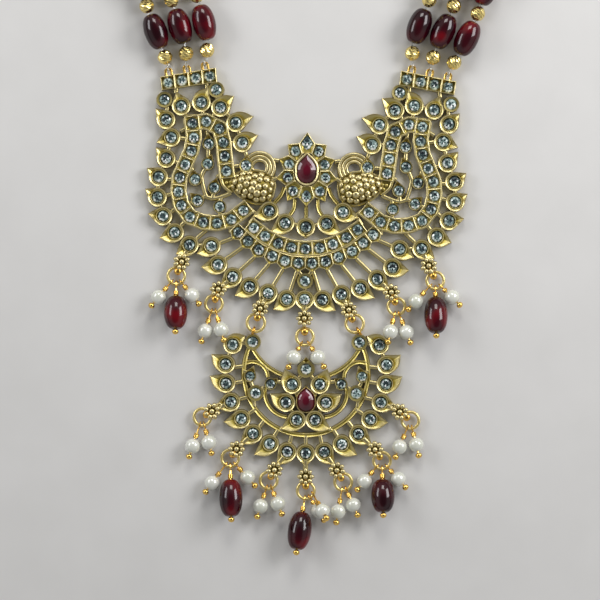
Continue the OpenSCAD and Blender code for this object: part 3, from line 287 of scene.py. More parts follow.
# Drops: ring, the middles of two pearls, their heights, the red bead and its length, and how far round
# the ring the second pearl's loop has slid, in degrees
PEARL_R = 2.0
DROPS = [
    dict(ring=(-33.5, -27.4), pearls=[(-38.0, -33.0, 2), (-29.3, -32.4, 2)],
         ruby=(-33.4, -36.9), ruby_len=8.6),
    dict(ring=(-23.6, -34.5), pearls=[(-25.8, -41.6, 2), (-21.6, -41.2, 2.65)]),
    dict(ring=(0.2, -42.7), pearls=[(-2.6, -48.1, 2), (3.7, -48.0, 2)]),
    dict(ring=(23.9, -34.4), pearls=[(22.4, -41.0, 2.65), (26.6, -41.1, 2)]),
    dict(ring=(33.9, -27.5), pearls=[(28.9, -33.0, 2), (38.3, -31.8, 2)], ruby=(34.1, -36.5), ruby_len=9.4),
    dict(ring=(-26.1, -64.0), pearls=[(-28.5, -71.6, 2), (-24.3, -70.6, 2)]),
    dict(ring=(-18.7, -74.6), pearls=[(-23.3, -81.1, 2), (-14.1, -79.5, 2)],
         ruby=(-18.3, -84.8), ruby_len=9.6),
    dict(ring=(-8.6, -80.2), pearls=[(-10.6, -86.9, 2), (-6.1, -86.2, 2)]),
    dict(ring=(1.1, -82.7), pearls=[(4.45, -87.85, 2), (5.45, -87.6, 5.95)], slid=21,
         ruby=(-0.35, -93.0), ruby_len=9.8),
    dict(ring=(10.8, -80.3), pearls=[(9.6, -88.0, 2), (13.5, -86.2, 2)]),
    dict(ring=(20.8, -74.6), pearls=[(16.3, -80.0, 2), (25.1, -79.3, 2)], ruby=(21.1, -83.6), ruby_len=8.6),
    dict(ring=(28.0, -64.0), pearls=[(25.3, -70.9, 2), (29.6, -70.3, 2)]),
]
PLAQUE_DROPS = 5
DROP_RUBY_R = 3.05
DROP_REST_Z = 3.5
BORE_R = 0.42
RING_R = 2.2
RING_WIRE_R = 0.4
LINK_R = 2.3
LINK_TOP = (11.9, -36.95)
EYE_R = 0.95
EYE_WIRE_R = 0.35
# The flattened lump over an eye: radius, and how far out from the eye's middle it lies
BAIL_R = 0.95
BAIL_REACH = 0.95
PIN_LOOP_R = 0.88
PIN_WIRE_R = 0.225
PIN_BALL_R = 0.75
PIN_BALL_WIDE = 0.87
WRAP_R = 0.5
WRAP_WIRE_R = 0.22
WRAP_LEN = 1.5
WRAP_PITCH = 2.2 * WRAP_WIRE_R
WRAP_STEPS = 12
CLEARANCE = 0.1

# White stones: size of the table, the star and the foot beside the girdle, and how far above or below it
TABLE_SHARE = 0.52
TABLE_RISE = 0.42
STAR_SHARE = 0.76
STAR_RISE = 0.28
FOOT_SHARE = 0.9
FOOT_DEPTH = 0.3
# Their brightness, which paints reflections and glints: of the table's wedges in turn, the star, the kites,
# the rim and below the girdle
WEDGE_TONES = [(0, 0.2), (0.1, 0.75)]
STAR_TONES = (0, 0.6)
KITE_TONES = (0.2, 1.0)
RIM_TONES = (0, 0.8)
UNDER_TONE = 0.1
FOIL_TONES = (-0.12, 0.12)
LOWER_GLINT = 0.35
VINE_STONE_R = 1.38
BAR_STONE_Z = STONE_Z - 0.2
# Stones in the flower's top and bottom petals: half width, half height and power of the edge, then height
TOP_PETAL_STONE = (1.7, 2.05, 1.2, STONE_Z + 0.15)
BOTTOM_PETAL_STONE = (1.3, 1.7, 1.6, STONE_Z + 0.1)

# A red pear stone: sides, how much they crowd about its point, how far the middle of its table is drawn
# towards the point, the share of its outline at its foot, and the shares above that with how far each lies
# below the table
PEAR_SIDES = 18
PEAR_CROWDING = 1.25
PEAR_DRAWN = 0.35
PEAR_FOOT = 0.7
PEAR_LEVELS = [(1.0, 1.0), (0.97, 0.66), (0.72, 0.34), (0.46, 0.08), (0.36, 0)]

# Strands: where the middle one of each side runs, from the bar to the clasp
LEFT_ROUTE = [
    (-31.8, 27.3), (-31.6, 30.1), (-33.1, 36.6), (-35.4, 42.9), (-39.6, 54), (-44.5, 68), (-48.5, 84),
    (-50.5, 100), (-49.5, 117), (-44.5, 133), (-35.5, 146), (-24, 153.4), (-13.2, 154),
]
RIGHT_ROUTE = [
    (31.8, 27.3), (32.2, 30.4), (34.3, 36.4), (37.0, 42.4), (40.8, 54), (44.8, 68), (48.5, 84), (50.5, 100),
    (49.5, 117), (44.5, 133), (35.5, 146), (24, 153.4), (13.2, 154),
]
STRANDS = [(side, name, place) for side in ("left", "right")
           for place, name in ((-1, "inner"), (0, "middle"), (1, "outer"))]
ROUTE_STEP = 8
BAR_SPREAD = 4.8
STRAND_GAP = 6.5
SPREAD_RUN = 7.5
STRAND_START = 0.95
BEAD_SLACK = 0.2
BEAD_R = 3.05
BEAD_LEN = 9.2
BALL_D = 3.95
# What these vary between: the width of the oval beads and the depth of the balls' facets
BEAD_SIZES = (0.985, 1)
FACET_DEPTHS = (0.95, 1.02)
THREAD_R = 0.25
HOOK_R = 0.8
HOOK_ANGLES = (40, 80, 120, 160, 200, 240, 280)
BAR_LOOP_TURN = math.radians(-10)
LOOP_HALF_W = 0.75
LOOP_REACH = 2.3
LOOP_WIRE_R = 0.35

dice = random.Random(7)


# Small sums

def lerp(a, b, t):
    return a + (b - a) * t


def smooth(t):
    u = min(max(t, 0), 1)
    return u * u * (3 - 2 * u)


def unit(v):
    return v.normalized()


def normal_of(v):
    return Vector((-v[1], v[0]))


def mirrored(row):
    """A place, or a row of two places, on the other side"""
    return tuple(value if k % 2 else -value for k, value in enumerate(row))


def on_both_sides(places):
    return [(side * p[0], p[1]) for p in places for side in (1, -1)]


def curve_at(a, b, c, d, t):
    """A point on a smooth curve through four neighbouring points, between the second and the third"""
    square = 2 * a - 5 * b + 4 * c - d
    cube = 3 * b - a - 3 * c + d
    return 0.5 * (2 * b + (c - a) * t + square * t * t + cube * t ** 3)


def smooth_path(points, steps):
    """A finer path along a smooth curve through the points"""
    p = [Vector(q) for q in points]
    last = len(p) - 1
    fine = [curve_at(p[max(i - 1, 0)], p[i], p[i + 1], p[min(i + 2, last)], k / steps)
            for i in range(last) for k in range(steps)]
    return fine + [p[last]]


def arc_path(middle, r, first, last, steps):
    """Points on an arc, with its angles in radians"""
    return [Vector((middle[0] + r * math.cos(a), middle[1] + r * math.sin(a)))
            for a in (lerp(first, last, k / steps) for k in range(steps + 1))]


def crowded_angles(count, crowding):
    """Angles all the way round, closer together about the point at 0"""
    angles = []
    for k in range(count):
        share = 2 * k / count - 1
        angles.append(math.pi * math.copysign(abs(share) ** crowding, share))
    return angles


def direction_at(path, i):
    return unit(Vector(path[min(i + 1, len(path) - 1)]) - Vector(path[max(i - 1, 0)]))


def frame_of(axis):
    """Two directions square to an axis, the first of them level"""
    level = axis.cross(Vector((0, 0, 1)))
    across = unit(level) if level.length > 1e-6 else Vector((1, 0, 0))
    return across, unit(across.cross(axis))


def circle(middle, r, across, up, count, turned=0.0):
    """Points round a middle, in the plane of two directions, turned by a share of the step between them"""
    angles = ((k + turned) * 2 * math.pi / count for k in range(count))
    return [Vector(middle) + r * (across * math.cos(a) + up * math.sin(a)) for a in angles]


class Shape:
    """Points and faces of one piece, with a shade from 0, polished and lit, to 1, dark, at each point.
    The shade is partly patina and partly painted shade in hollows, creases, gaps and at feet.
    """

    def __init__(self):
        self.points = []
        self.faces = []
        self.shades = []

    def loft(self, rings, shades, closed=False):
        """Joins rings of equal length. A closed loft ends at its first ring, an open one in two caps."""
        sides = len(rings[0])
        base = len(self.points)
        for ring, shade in zip(rings, shades):
            self.points.extend(tuple(p) for p in ring)
            self.shades.extend(shade if isinstance(shade, list) else [shade] * sides)
        levels = len(rings)
        for level in range(levels if closed else levels - 1):
            low = base + level * sides
            high = base + (level + 1) % levels * sides
            for k in range(sides):
                after = (k + 1) % sides
                self.faces.append((low + k, low + after, high + after, high + k))
        if not closed:
            self.faces.append(tuple(base + k for k in range(sides)))
            self.faces.append(tuple(base + (levels - 1) * sides + k for k in range(sides)))

    def loft_rays(self, rays):
        """Joins rays, each a row of points and their shades from the outside in"""
        levels = range(len(rays[0]))
        rings = [[ray[i][0] for ray in rays] for i in levels]
        self.loft(rings, [[ray[i][1] for ray in rays] for i in levels])

    def add(self, other, move=lambda p: p):
        """Takes in another shape, each of its points moved"""
        base = len(self.points)
        self.points.extend(move(p) for p in other.points)
        self.shades.extend(other.shades)
        self.faces.extend(tuple(base + k for k in face) for face in other.faces)


def both_sides(right):
    """A shape of the right half with its mirror image"""
    whole = Shape()
    whole.add(right)
    whole.add(right, lambda p: (-p[0], p[1], p[2]))
    return whole


# Building blocks

def leaf_reach(angle, r, reach):
    """How far out a leaf's edge lies at an angle from its point: a circle and its two tangents"""
    side = math.acos(min(r / reach, 1))
    turned = abs(angle)
    return r if turned >= side else r / math.cos(side - turned)


# Where a bulging side leaves the circle, and how sharply it turns in to the point of a leaf or a pear
BULGE_ANGLE = math.radians(80)
LEAF_BULGE = 1.8
PEAR_BULGE = 1.75


def bulging_reach(angle, r, reach, power):
    """The same for a side that bulges"""
    share = min(abs(angle) / BULGE_ANGLE, 1)
    return r + (reach - r) * (1 - share ** (1 / power))


# A leaf's wall outside its collar: how far in from the edge, height and shade, painted dark at its foot
LEAF_RIM = [(0, 0, 0.7), (0, 1.5, 0.5), (0.05, 1.95, 0.1), (0.14, RIM_Z, 0), (0.27, RIM_Z - 0.03, 0)]
LEAF_RIM_W = 0.37
# Its collar: how far out from the collar's radius, height and shade
COLLAR_R = 1.74
COLLAR = [(0.08, RIM_Z - 0.1, 0.1), (0, RIM_Z - 0.03, 0), (-0.1, RIM_Z - 0.1, 0.2), (-0.2, RIM_Z - 0.36, 0.7)]
COLLAR_FOOT = 0.14
# The dished ground between them: how far below the rim it starts and ends
GROUND_START = 0.13
GROUND_END = 0.26
# The share of its depth that it already has where it starts
GROUND_DIP = 0.3


# A section is given its circle's radius, how far out its edge lies and how deep its ground dips
def leaf_section(_, out, depth):
    """A leaf at one angle, from its edge over the dished ground and the collar to its seat"""
    start = (out - LEAF_RIM_W, RIM_Z - GROUND_START - GROUND_DIP * depth)
    end = (COLLAR_R + COLLAR_FOOT, RIM_Z - GROUND_END - depth)
    rim = [(out - inset, z, shade) for inset, z, shade in LEAF_RIM]
    # The ground and the seat are painted darker inwards, as shade in the hollow, partly patina
    slope = [(lerp(start[0], end[0], t), lerp(start[1], end[1], t), 0.1 + 0.6 * t * t)
             for t in (0, 0.4, 0.8, 1)]
    collar = [(COLLAR_R + off, z, shade) for off, z, shade in COLLAR]
    return rim + slope + collar + [(STONE_R + 0.03, RIM_Z - 0.5, 0.9), (STONE_R, SEAT_Z, 1)]


# How deep the ground of a leaf's point is, and how far beyond the circle it reaches that depth
VALLEY = 0.7
VALLEY_RUN = 0.5
CUP_WALL_W = 0.35


def cup_section(r, out, depth):
    """A plain cup at one angle, with a rounded rim and a seat as wide as the stone"""
    seat = min(STONE_R, r - CUP_WALL_W)
    drop = depth * min(1, (out - r) / VALLEY_RUN)
    # Painted shade, partly patina: dark at the wall's foot, in the dip and round the seat; the rim stays
    # bright
    return [
        (out, 0, 0.7), (out, 1.5, 0.5), (out - 0.05, 1.95, 0.1), (out - 0.13, RIM_Z, 0),
        (out - 0.24, RIM_Z - 0.02, 0), (lerp(out - 0.24, r - 0.16, 0.6), RIM_Z - 0.1 - drop * 0.6, 0.3),
        (r - 0.2, RIM_Z - 0.14 - drop, 0.4), (lerp(r - 0.2, seat, 0.5), RIM_Z - 0.2, 0.3),
        (seat + 0.1, RIM_Z - 0.22, 0.15), (seat + 0.03, RIM_Z - 0.34, 0.6), (seat, SEAT_Z, 1),
    ]


CUP_STEPS = 48
CUP_CROWDING = 1.6
# How much further the thin point of a bulging leaf runs than the solid's
TIP_MORE = 0.4


def cup(shape, row, r, bulging=False, section=cup_section):
    """A stone's cup. A row of four has a leaf's point, a row of two none."""
    middle = Vector(row[:2])
    run = Vector(row[2:]) - middle if len(row) == 4 else Vector((r, 0))
    reach = run.length + (TIP_MORE if bulging else 0)
    heading = math.atan2(run[1], run[0])
    side = math.acos(min(r / reach, 1))
    rays = []
    for angle in crowded_angles(CUP_STEPS, CUP_CROWDING):
        bulges = bulging and angle < 0
        out = bulging_reach(angle, r, reach, LEAF_BULGE) if bulges else leaf_reach(angle, r, reach)
        width = BULGE_ANGLE if bulges else side
        depth = 0
        if abs(angle) < width:
            depth = VALLEY * (1 - abs(angle) / width) * min(1, (out - r) / VALLEY_RUN)
        way = Vector((math.cos(heading + angle), math.sin(heading + angle)))
        rays.append([((*(middle + way * far), z), shade) for far, z, shade in section(r, out, depth)])
    shape.loft_rays(rays)


def cups(shape, rows, r):
    for row in rows:
        cup(shape, row, r)


def leaves(shape, rows, bulging=False):
    for row in rows:
        cup(shape, row, LEAF_R, bulging, leaf_section)


# A cell's wall from its crest to its floor: how far in, height and shade, painted darker at its foot and
# inside
CELL_WALL = [(0, 0, 0.7), (0, 2.1, 0.3), (0.05, 2.27, 0), (0.16, CREST_Z, 0), (0.27, 2.22, 0.05),
             (0.38, 1.95, 0.35)]
# The low collar round its seat: how far out from the seat, height above the floor and shade; the floor and
# the seat's edge are painted dark, as shade
CELL_COLLAR = [(0.26, 0, 0.7), (0.13, 0.03, 0.6), (0.1, 0.12, 0.25), (0.05, 0.13, 0.2), (0.01, 0.05, 0.8)]
CELL_FLOOR_Z = 1.78
CELL_STEP = 0.5


def cell(shape, outline, middle, seat=STONE_R, floor_z=CELL_FLOOR_Z):
    """A stone's cell with straight walls, from its outline down to its floor and its seat"""
    corners = [Vector(p) for p in outline]
    edge = []
    for i, here in enumerate(corners):
        after = corners[(i + 1) % len(corners)]
        steps = max(2, round((after - here).length / CELL_STEP))
        edge.extend(here.lerp(after, k / steps) for k in range(steps))
    hub = Vector(middle)
    rays = []
    for point in edge:
        way = point - hub
        out = way.length
        section = [(out - inset, z, shade) for inset, z, shade in CELL_WALL]
        section += [(seat + off, floor_z + z, shade) for off, z, shade in CELL_COLLAR] + [(seat, SEAT_Z, 1)]
        # In a narrow cell the rows are squeezed together, so that none lies outside the one before it
        nearest = out + 0.02
        ray = []
        for i, (distance, z, shade) in enumerate(section):
            nearest = min(distance, nearest - (0.01 if i > 1 else 0))
            ray.append(((*(hub + way / out * nearest), z), shade))
        rays.append(ray)
    shape.loft_rays(rays)


def strip(shape, path, profile):
    """A raised strip along a flat path. Profile rows are the way across, height and shade."""
    rings = []
    for i, p in enumerate(path):
        across = normal_of(direction_at(path, i))
        rings.append([(*(Vector(p) + across * off), z) for off, z, _ in profile])
    shape.loft(rings, [[shade for _, _, shade in profile]] * len(path))


def strut(shape, row, profile):
    """A straight strip, its row the places of its two ends"""
    strip(shape, (row[:2], row[2:]), profile)


# How high the rounded top of a rib is, and the steps of its arc
RIB_ROUND = 0.38
RIB_STEPS = 8
# Steps between the points of a curved stem, and along each arc
STEM_STEPS = 6
CREST_STEPS = 40
ARC_STEPS = 24
MOON_STEPS = 80


def rib_profile(w, top):
    """The section of a rib with a rounded top, painted lit along its top and in shade down its sides and feet
    """
    round_top = []
    for k in range(RIB_STEPS + 1):
        angle = math.pi * k / RIB_STEPS
        lift = math.sin(angle)
        round_top.append((-w / 2 * math.cos(angle), top - RIB_ROUND + RIB_ROUND * lift, 0.35 - 0.32 * lift))
    left_foot = [(-w / 2, 0, 0.8), (-w / 2, top * 0.45, 0.6)]
    right_foot = [(w / 2, top * 0.45, 0.6), (w / 2, 0, 0.8)]
    return left_foot + round_top + right_foot


def double_profile(w, top):
    """The section of a wire with a groove along its middle, painted dark as shade in the groove and at its
    feet
    """
    half = [(0.5, -0.5, 0.7), (0.43, -0.15, 0.3), (0.3, 0, 0.05), (0.14, -0.1, 0.5)]
    left = [(-off * w, top + z, shade) for off, z, shade in half]
    right = [(off * w, top + z, shade) for off, z, shade in reversed(half)]
    return [(-w / 2, 0, 0.8)] + left + [(0, top - 0.22, 0.9)] + right + [(w / 2, 0, 0.8)]


def tube(shape, path, r, sides=10, closed=False, shade=0.0):
    """A round tube along a path in space"""
    last = len(path) - 1
    rings = []
    across = None
    for i, p in enumerate(path):
        before = path[i - 1] if i > 0 else (path[last] if closed else p)
        after = path[i + 1] if i < last else (path[0] if closed else p)
        way = unit(Vector(after) - Vector(before))
        across = frame_of(way)[0] if across is None else unit(across - way * across.dot(way))
        rings.append(circle(p, r, across, way.cross(across), sides))
    shape.loft(rings, [shade] * len(rings), closed)


def torus(shape, middle, r, wire_r, axis, steps=40, sides=12, shade=0.0):
    path = circle(middle, r, *frame_of(unit(Vector(axis))), steps)
    tube(shape, path, wire_r, sides, closed=True, shade=shade)


def revolve(shape, profile, middle, axis, steps, closed=False, twist=0.0, shade=0.0):
    """A solid of revolution, its rings turned on by the twist. Profile rows are the radius and the place."""
    axis = unit(Vector(axis))
    rings = [circle(Vector(middle) + axis * along, r, *frame_of(axis), steps, twist * i)
             for i, (r, along) in enumerate(profile)]
    shape.loft(rings, [shade] * len(rings), closed)


def ball(shape, middle, r, axis=(0, 0, 1), flat=1.0, steps=16, levels=10, shade=0.0):
    """A ball, flattened along its axis by the share flat"""
    polar = [math.pi * (k + 0.25) / (levels + 0.5) for k in range(levels + 1)]
    profile = [(r * math.sin(a), -r * flat * math.cos(a)) for a in polar]
    revolve(shape, profile, middle, axis, steps, shade=shade)


def ball_profile(r, squat, end, steps):
    """The outside of a ball with its two ends left open, squat along its axis"""
    polar = [math.pi * (end + (1 - 2 * end) * k / steps) for k in range(steps + 1)]
    return [(r * math.sin(a), -r * squat * math.cos(a)) for a in polar]


def drilled(outer):
    """Closes a bead's outer profile with the bore through it"""
    return outer + [(BORE_R, outer[-1][1] - 0.05), (BORE_R, outer[0][1] + 0.05)]


# Cast pieces of the plaque

def plaque_leaves():
    right = Shape()
    leaves(right, OUTER_LEAVES[:STRAIGHT_LEAVES] + CLUSTER_LEAVES[:1])
    leaves(right, OUTER_LEAVES[STRAIGHT_LEAVES:] + UNDER_LEAVES + CLUSTER_LEAVES[1:], True)
    cups(right, [CREST_LEAF], CREST_CUP_R)
    cups(right, VINE_LEAVES + [VINE_END], VINE_CUP_R)
    cups(right, ROUND_CUPS, CUP_R)
    whole = both_sides(right)
    leaves(whole, MIDDLE_LEAVES)
    cups(whole, [MIDDLE_CUP], CUP_R)
    return whole


# Keeps the corners of a band's sharpest bends from reaching too far out
CORNER_LIMIT = 0.75


def band_cells(path):
    """The outlines of a band's cells, one round each stone of its path"""
    half = CHANNEL_W / 2
    p = [Vector(q) for q in path]
    last = len(p) - 1
    edges = [p[0] - (p[1] - p[0]) / 2] + [(p[i] + p[i + 1]) / 2 for i in range(last)]
    edges.append(p[last] + (p[last] - p[last - 1]) / 2)
    outlines = []
    for i in range(last + 1):
        first = unit(p[i] - p[i - 1]) if i > 0 else unit(p[1] - p[0])
        then = unit(p[i + 1] - p[i]) if i < last else first
        lean = unit(first + then)
        corner = normal_of(lean) * half / max(CORNER_LIMIT, first.dot(lean))
        side, end_side = normal_of(first) * half, normal_of(then) * half
        outlines.append([
            edges[i] + side, p[i] + corner, edges[i + 1] + end_side,
            edges[i + 1] - end_side, p[i] - corner, edges[i] - side,
        ])
    return outlines


RAIL_R = 0.3
# How far the rails lie in from the cells' corners, as a share of the way to the stones
RAIL_INSET = 0.09
RAIL_STEPS = 4


def band(shape, path):
    """A band's cells, and the round rails along its two sides"""
    outlines = band_cells(path)
    for outline, place in zip(outlines, path):
        cell(shape, outline, place)
    left = [outlines[0][0]] + [q for outline in outlines for q in outline[1:3]]
    right = [outlines[0][5]] + [q for outline in outlines for q in outline[4:2:-1]]
    middles = [Vector(path[0])] + [Vector(q) for q in path for _ in (0, 1)]
    for line in (left, right):
        inside = [q.lerp(m, RAIL_INSET) for q, m in zip(line, middles)]
        rail = [(*q, CREST_Z - RAIL_R) for q in smooth_path(inside, RAIL_STEPS)]
        tube(shape, rail, RAIL_R, shade=0.1)


def honeycomb_outline(i):
    p = Vector(HONEYCOMB_PATH[i])
    along = direction_at(HONEYCOMB_PATH, i)
    out = -normal_of(along)
    half = HONEYCOMB_HALF
    return [
        p - along * half - out * HONEYCOMB_IN, p + along * half - out * HONEYCOMB_IN,
        p + along * half + out * HONEYCOMB_NOTCH, p + out * HONEYCOMB_POINT,
        p - along * half + out * HONEYCOMB_NOTCH,
    ]


def in_bar(u, v):
    """A place in the bar, from its outer end to its inner one and from its top edge to its bottom"""
    outer_top, inner_top, inner_low, outer_low = (Vector(p) for p in BAR_CORNERS)
    return outer_top.lerp(inner_top, u).lerp(outer_low.lerp(inner_low, u), v)


def petal_outline(i):
    """A petal's point, then the notches and wall feet on its two sides"""
    point, notch, foot, _ = PETALS[i]
    before_notch, before_foot = (mirrored(q) for q in PETALS[0][1:3]) if i == 0 else PETALS[i - 1][1:3]
    if notch is None:
        notch, foot = mirrored(before_notch), mirrored(before_foot)
    return [point, notch, foot, before_foot, before_notch]


def plaque_cells():
    """The channel, the bars, the flower, and the crescent and honeycomb bands"""
    right = Shape()
    band(right, CHANNEL_PATH)
    for k in range(BAR_STONES):
        start, end = k / BAR_STONES, (k + 1) / BAR_STONES
        outline = [in_bar(start, 0), in_bar(end, 0), in_bar(end, 1), in_bar(start, 1)]
        cell(right, outline, in_bar((start + end) / 2, 0.5), floor_z=BAR_FLOOR_Z)
    for i in range(1, len(PETALS) - 1):
        cell(right, petal_outline(i), PETALS[i][3], PETAL_SEAT_R, PETAL_FLOOR_Z)
    whole = both_sides(right)
    for i in (0, len(PETALS) - 1):
        cell(whole, petal_outline(i), PETALS[i][3], MIDDLE_PETAL_SEAT_R, PETAL_FLOOR_Z)
    heart = [foot for _, _, foot, _ in PETALS[:-1]]
    heart = heart + [mirrored(foot) for foot in reversed(heart)]
    # The heart plate is painted dark, as the shade under the red stone and the petals' walls
    whole.loft([[(*(Vector(p) * HEART_SHARE), z) for p in heart] for z in (0, HEART_Z)], [0.8, 0.8])
    band(whole, CRESCENT_PATH)
    for i, place in enumerate(HONEYCOMB_PATH):
        cell(whole, honeycomb_outline(i), place)
    return whole


def plaque_ribs():
    right = Shape()
    plain = rib_profile(RIB_W, RIB_Z)
    grooved = double_profile(WIRE_W, RIB_Z)
    for row in STRUTS + FAN_RIBS:
        strut(right, row, plain)
    for points in STEMS:
        strip(right, smooth_path(points, STEM_STEPS), grooved if points in FLOWER_STEMS else plain)
    return both_sides(right)


def pear_edge(row, angle):
    """Where the edge of a pear lies, its point towards the neck"""
    middle, r, reach = row
    way = Vector((-math.sin(angle), math.cos(angle)))
    return Vector(middle) + way * bulging_reach(angle, r, reach, PEAR_BULGE)


# A bezel's wall: the share of the way in from its edge to the stone, height and shade, painted dark at its
# foot and down towards the stone
BEZEL_WALL = [(0, 0, 0.7), (0, 1.9, 0.4), (0.06, 2.3, 0.1), (0.22, 2.62, 0), (0.45, 2.72, 0), (0.7, 2.6, 0),
              (0.9, 2.36, 0.2), (1, 2.2, 0.6), (1.01, SEAT_Z, 1)]
BEZEL_STEPS = 64
BEZEL_CROWDING = 1.5


def bezel(row, stone):
    """The smooth wide bezel round a pear stone, from its edge down to the stone"""
    shape = Shape()
    angles = crowded_angles(BEZEL_STEPS, BEZEL_CROWDING)
    rings = [[(*pear_edge(row, a).lerp(pear_edge(stone, a), share), z) for a in angles]
             for share, z, _ in BEZEL_WALL]
    shape.loft(rings, [shade for _, _, shade in BEZEL_WALL])
    return shape


def plaque_bezel():
    return bezel(FLOWER_BEZEL, FLOWER_STONE)


def body_radius(t):
    """How wide the peacock's body is at a share of its half length, from its inner end to its neck"""
    return BODY_R * math.sqrt(max(0, 1 - abs(t) ** BODY_POWER)) * (1 - BODY_TAPER * t)


def body_place(t, r, angle):
    """A place on the peacock's body: along it, out from its axis, and round it from the top"""
    along = t * BODY_LEN / 2
    across = r * math.sin(angle)
    turned = Vector((along * math.cos(BODY_TURN) - across * math.sin(BODY_TURN),
                     along * math.sin(BODY_TURN) + across * math.cos(BODY_TURN)))
    return Vector((*(Vector(BODY_MIDDLE) + turned), BODY_Z + r * math.cos(angle)))


def body(shape):
    """The smooth ground under the grains, down to the back, painted dark as the shade between the grains"""
    rings = []
    for k in range(BODY_STEPS + 1):
        t = math.sin(math.pi * (k / BODY_STEPS - 0.5)) * BODY_END
        r = body_radius(t) - BODY_INSET
        ring = [body_place(t, r, math.pi * (j / BODY_SIDES - 0.5)) for j in range(BODY_SIDES + 1)]
        foot = [Vector((ring[-1][0], ring[-1][1], 0)), Vector((ring[0][0], ring[0][1], 0))]
        rings.append(ring + foot)
    shape.loft(rings, [0.75] * len(rings))


def grains(shape):
    """Rows of flattened grains across the body, each square to the body's surface"""
    for row in range(GRAIN_ROWS):
        t = GRAIN_REACH * (2 * row / (GRAIN_ROWS - 1) - 1)
        r = body_radius(t)
        count = int(GRAIN_ARC * r / GRAIN_GAP / 2) * 2 + 1 - row % 2
        slope = (body_radius(t + 0.03) - body_radius(t - 0.03)) / (0.06 * BODY_LEN / 2)
        for k in range(count):
            angle = (k - (count - 1) / 2) * GRAIN_GAP / r
            stray = dice.uniform(-GRAIN_STRAY, GRAIN_STRAY)
            centre = body_place(t + stray / BODY_LEN, r, angle + stray / r)
            out = body_place(t, r + 1, angle) - centre
            along = body_place(t + 0.1, r, angle) - centre
            size = GRAIN_R * dice.uniform(*GRAIN_SIZES)
            ball(shape, centre, size, out - unit(along) * slope, flat=GRAIN_FLAT, steps=12, levels=8)


def lip(shape):
    """The round wire about the body's foot"""
    path = []
    for k in range(LIP_STEPS):
        angle = 2 * math.pi * (k + 0.5) / LIP_STEPS
        t = math.sin(angle) * LIP_END
        p = body_place(t, body_radius(t) + 0.1, math.copysign(math.pi / 2, math.cos(angle)))
        path.append((p[0], p[1], LIP_Z))
    tube(shape, path, LIP_R, closed=True, shade=0.1)


def neck_plate(shape):
    """The plate, rim and grains between the body and the channel"""
    # The plate is painted dark, as shade round its rim and grains
    shape.loft([[(x, y, z) for x, y in NECK] for z in (0, NECK_Z)], [0.9, 0.6])
    tube(shape, [(*p, NECK_Z + 0.3) for p in smooth_path(NECK_RIM, STEM_STEPS)], LIP_R, shade=0.1)
    for x, y in NECK_GRAINS:
        ball(shape, (x, y, NECK_Z + 0.1), NECK_GRAIN_R, shade=0.3)


def crest(shape):
    """The crest, an arc of three round flutes, painted dark as shade in the creases and at its feet"""
    half = CREST_FLUTES / 2
    profile = [(-half * CREST_FLUTE, 0, 0.8)]
    for flute in range(CREST_FLUTES):
        for k in range(7):
            angle = math.pi * k / 6
            off = (flute - half) * CREST_FLUTE + CREST_FLUTE * (1 - math.cos(angle)) / 2
            height = CREST_FOOT_Z + CREST_LIFT * math.sin(angle)
            profile.append((off, height, 0.9 if k in (0, 6) else 0))
    profile.append((half * CREST_FLUTE, 0, 0.8))
    strip(shape, arc_path(CREST_MIDDLE, CREST_R, CREST_TO, CREST_FROM, CREST_STEPS), profile)


def plaque_peacocks():
    right = Shape()
    body(right)
    grains(right)
    lip(right)
    neck_plate(right)
    crest(right)
    return both_sides(right)


def rosette(shape, row):
    """Eight small balls round a middle one, on a plate with a neck to its leaf"""
    middle = Vector(row[:2])
    leaf_place = Vector(row[2:])
    to_leaf = unit(leaf_place - middle)
    first = math.atan2(to_leaf[1], to_leaf[0])
    # The plate is painted almost black, as the shade in the gaps between the balls
    revolve(shape, ROSETTE_PLATE, (*middle, ROSETTE_Z), (0, 0, 1), 24, shade=0.95)
    ball(shape, (*middle, ROSETTE_Z + 0.15), ROSETTE_MIDDLE_R, flat=0.9)
    for k in range(ROSETTE_PETALS):
        angle = first + 2 * math.pi * k / ROSETTE_PETALS
        way = Vector((math.cos(angle), math.sin(angle)))
        size = ROSETTE_BALL_R * dice.uniform(*ROSETTE_BALL_SIZES)
        ball(shape, (*(middle + way * ROSETTE_RING_R), ROSETTE_Z), size, (*way, 0), flat=1.15)
    neck = [leaf_place - to_leaf * (CUP_R - 0.3), middle + to_leaf]
    strip(shape, neck, rib_profile(ROSETTE_NECK_W, ROSETTE_NECK_Z))


def rosettes(right, middle):
    shape = Shape()
    for row in right:
        rosette(shape, row)
        rosette(shape, mirrored(row))
    rosette(shape, middle)
    return shape


def standing_eye(shape, eye, out):
    # Eyes and their stems are painted a little darker, as shaded under their rosettes
    torus(shape, (*eye, RING_Z), EYE_R, EYE_WIRE_R, (*normal_of(out), 0), steps=28, shade=0.35)


def bail(shape, eye, out, rosette_place):
    """A standing eye, the stem that holds it to its rosette and the flattened lump over it"""
    standing_eye(shape, eye, out)
    tube(shape, [(*rosette_place, ROSETTE_Z), (*eye, RING_Z + EYE_R)], EYE_WIRE_R, shade=0.35)
    ball(shape, (*(eye + out * BAIL_REACH), RING_Z + EYE_R), BAIL_R, flat=0.6, steps=20, levels=12, shade=0.2)


def pendant_place(p):
    """A flat place on the pendant, moved to where it hangs"""
    q = Vector(p[:2]) - Vector(PENDANT_PIVOT)
    c, s = math.cos(PENDANT_TURN), math.sin(PENDANT_TURN)
    return Vector((q[0] * c - q[1] * s, q[0] * s + q[1] * c)) + Vector(PENDANT_PIVOT) + Vector(PENDANT_SHIFT)


def hung(own):
    """A shape of the pendant, moved to where that hangs"""
    whole = Shape()
    whole.add(own, lambda p: (*pendant_place(p), p[2]))
    return whole


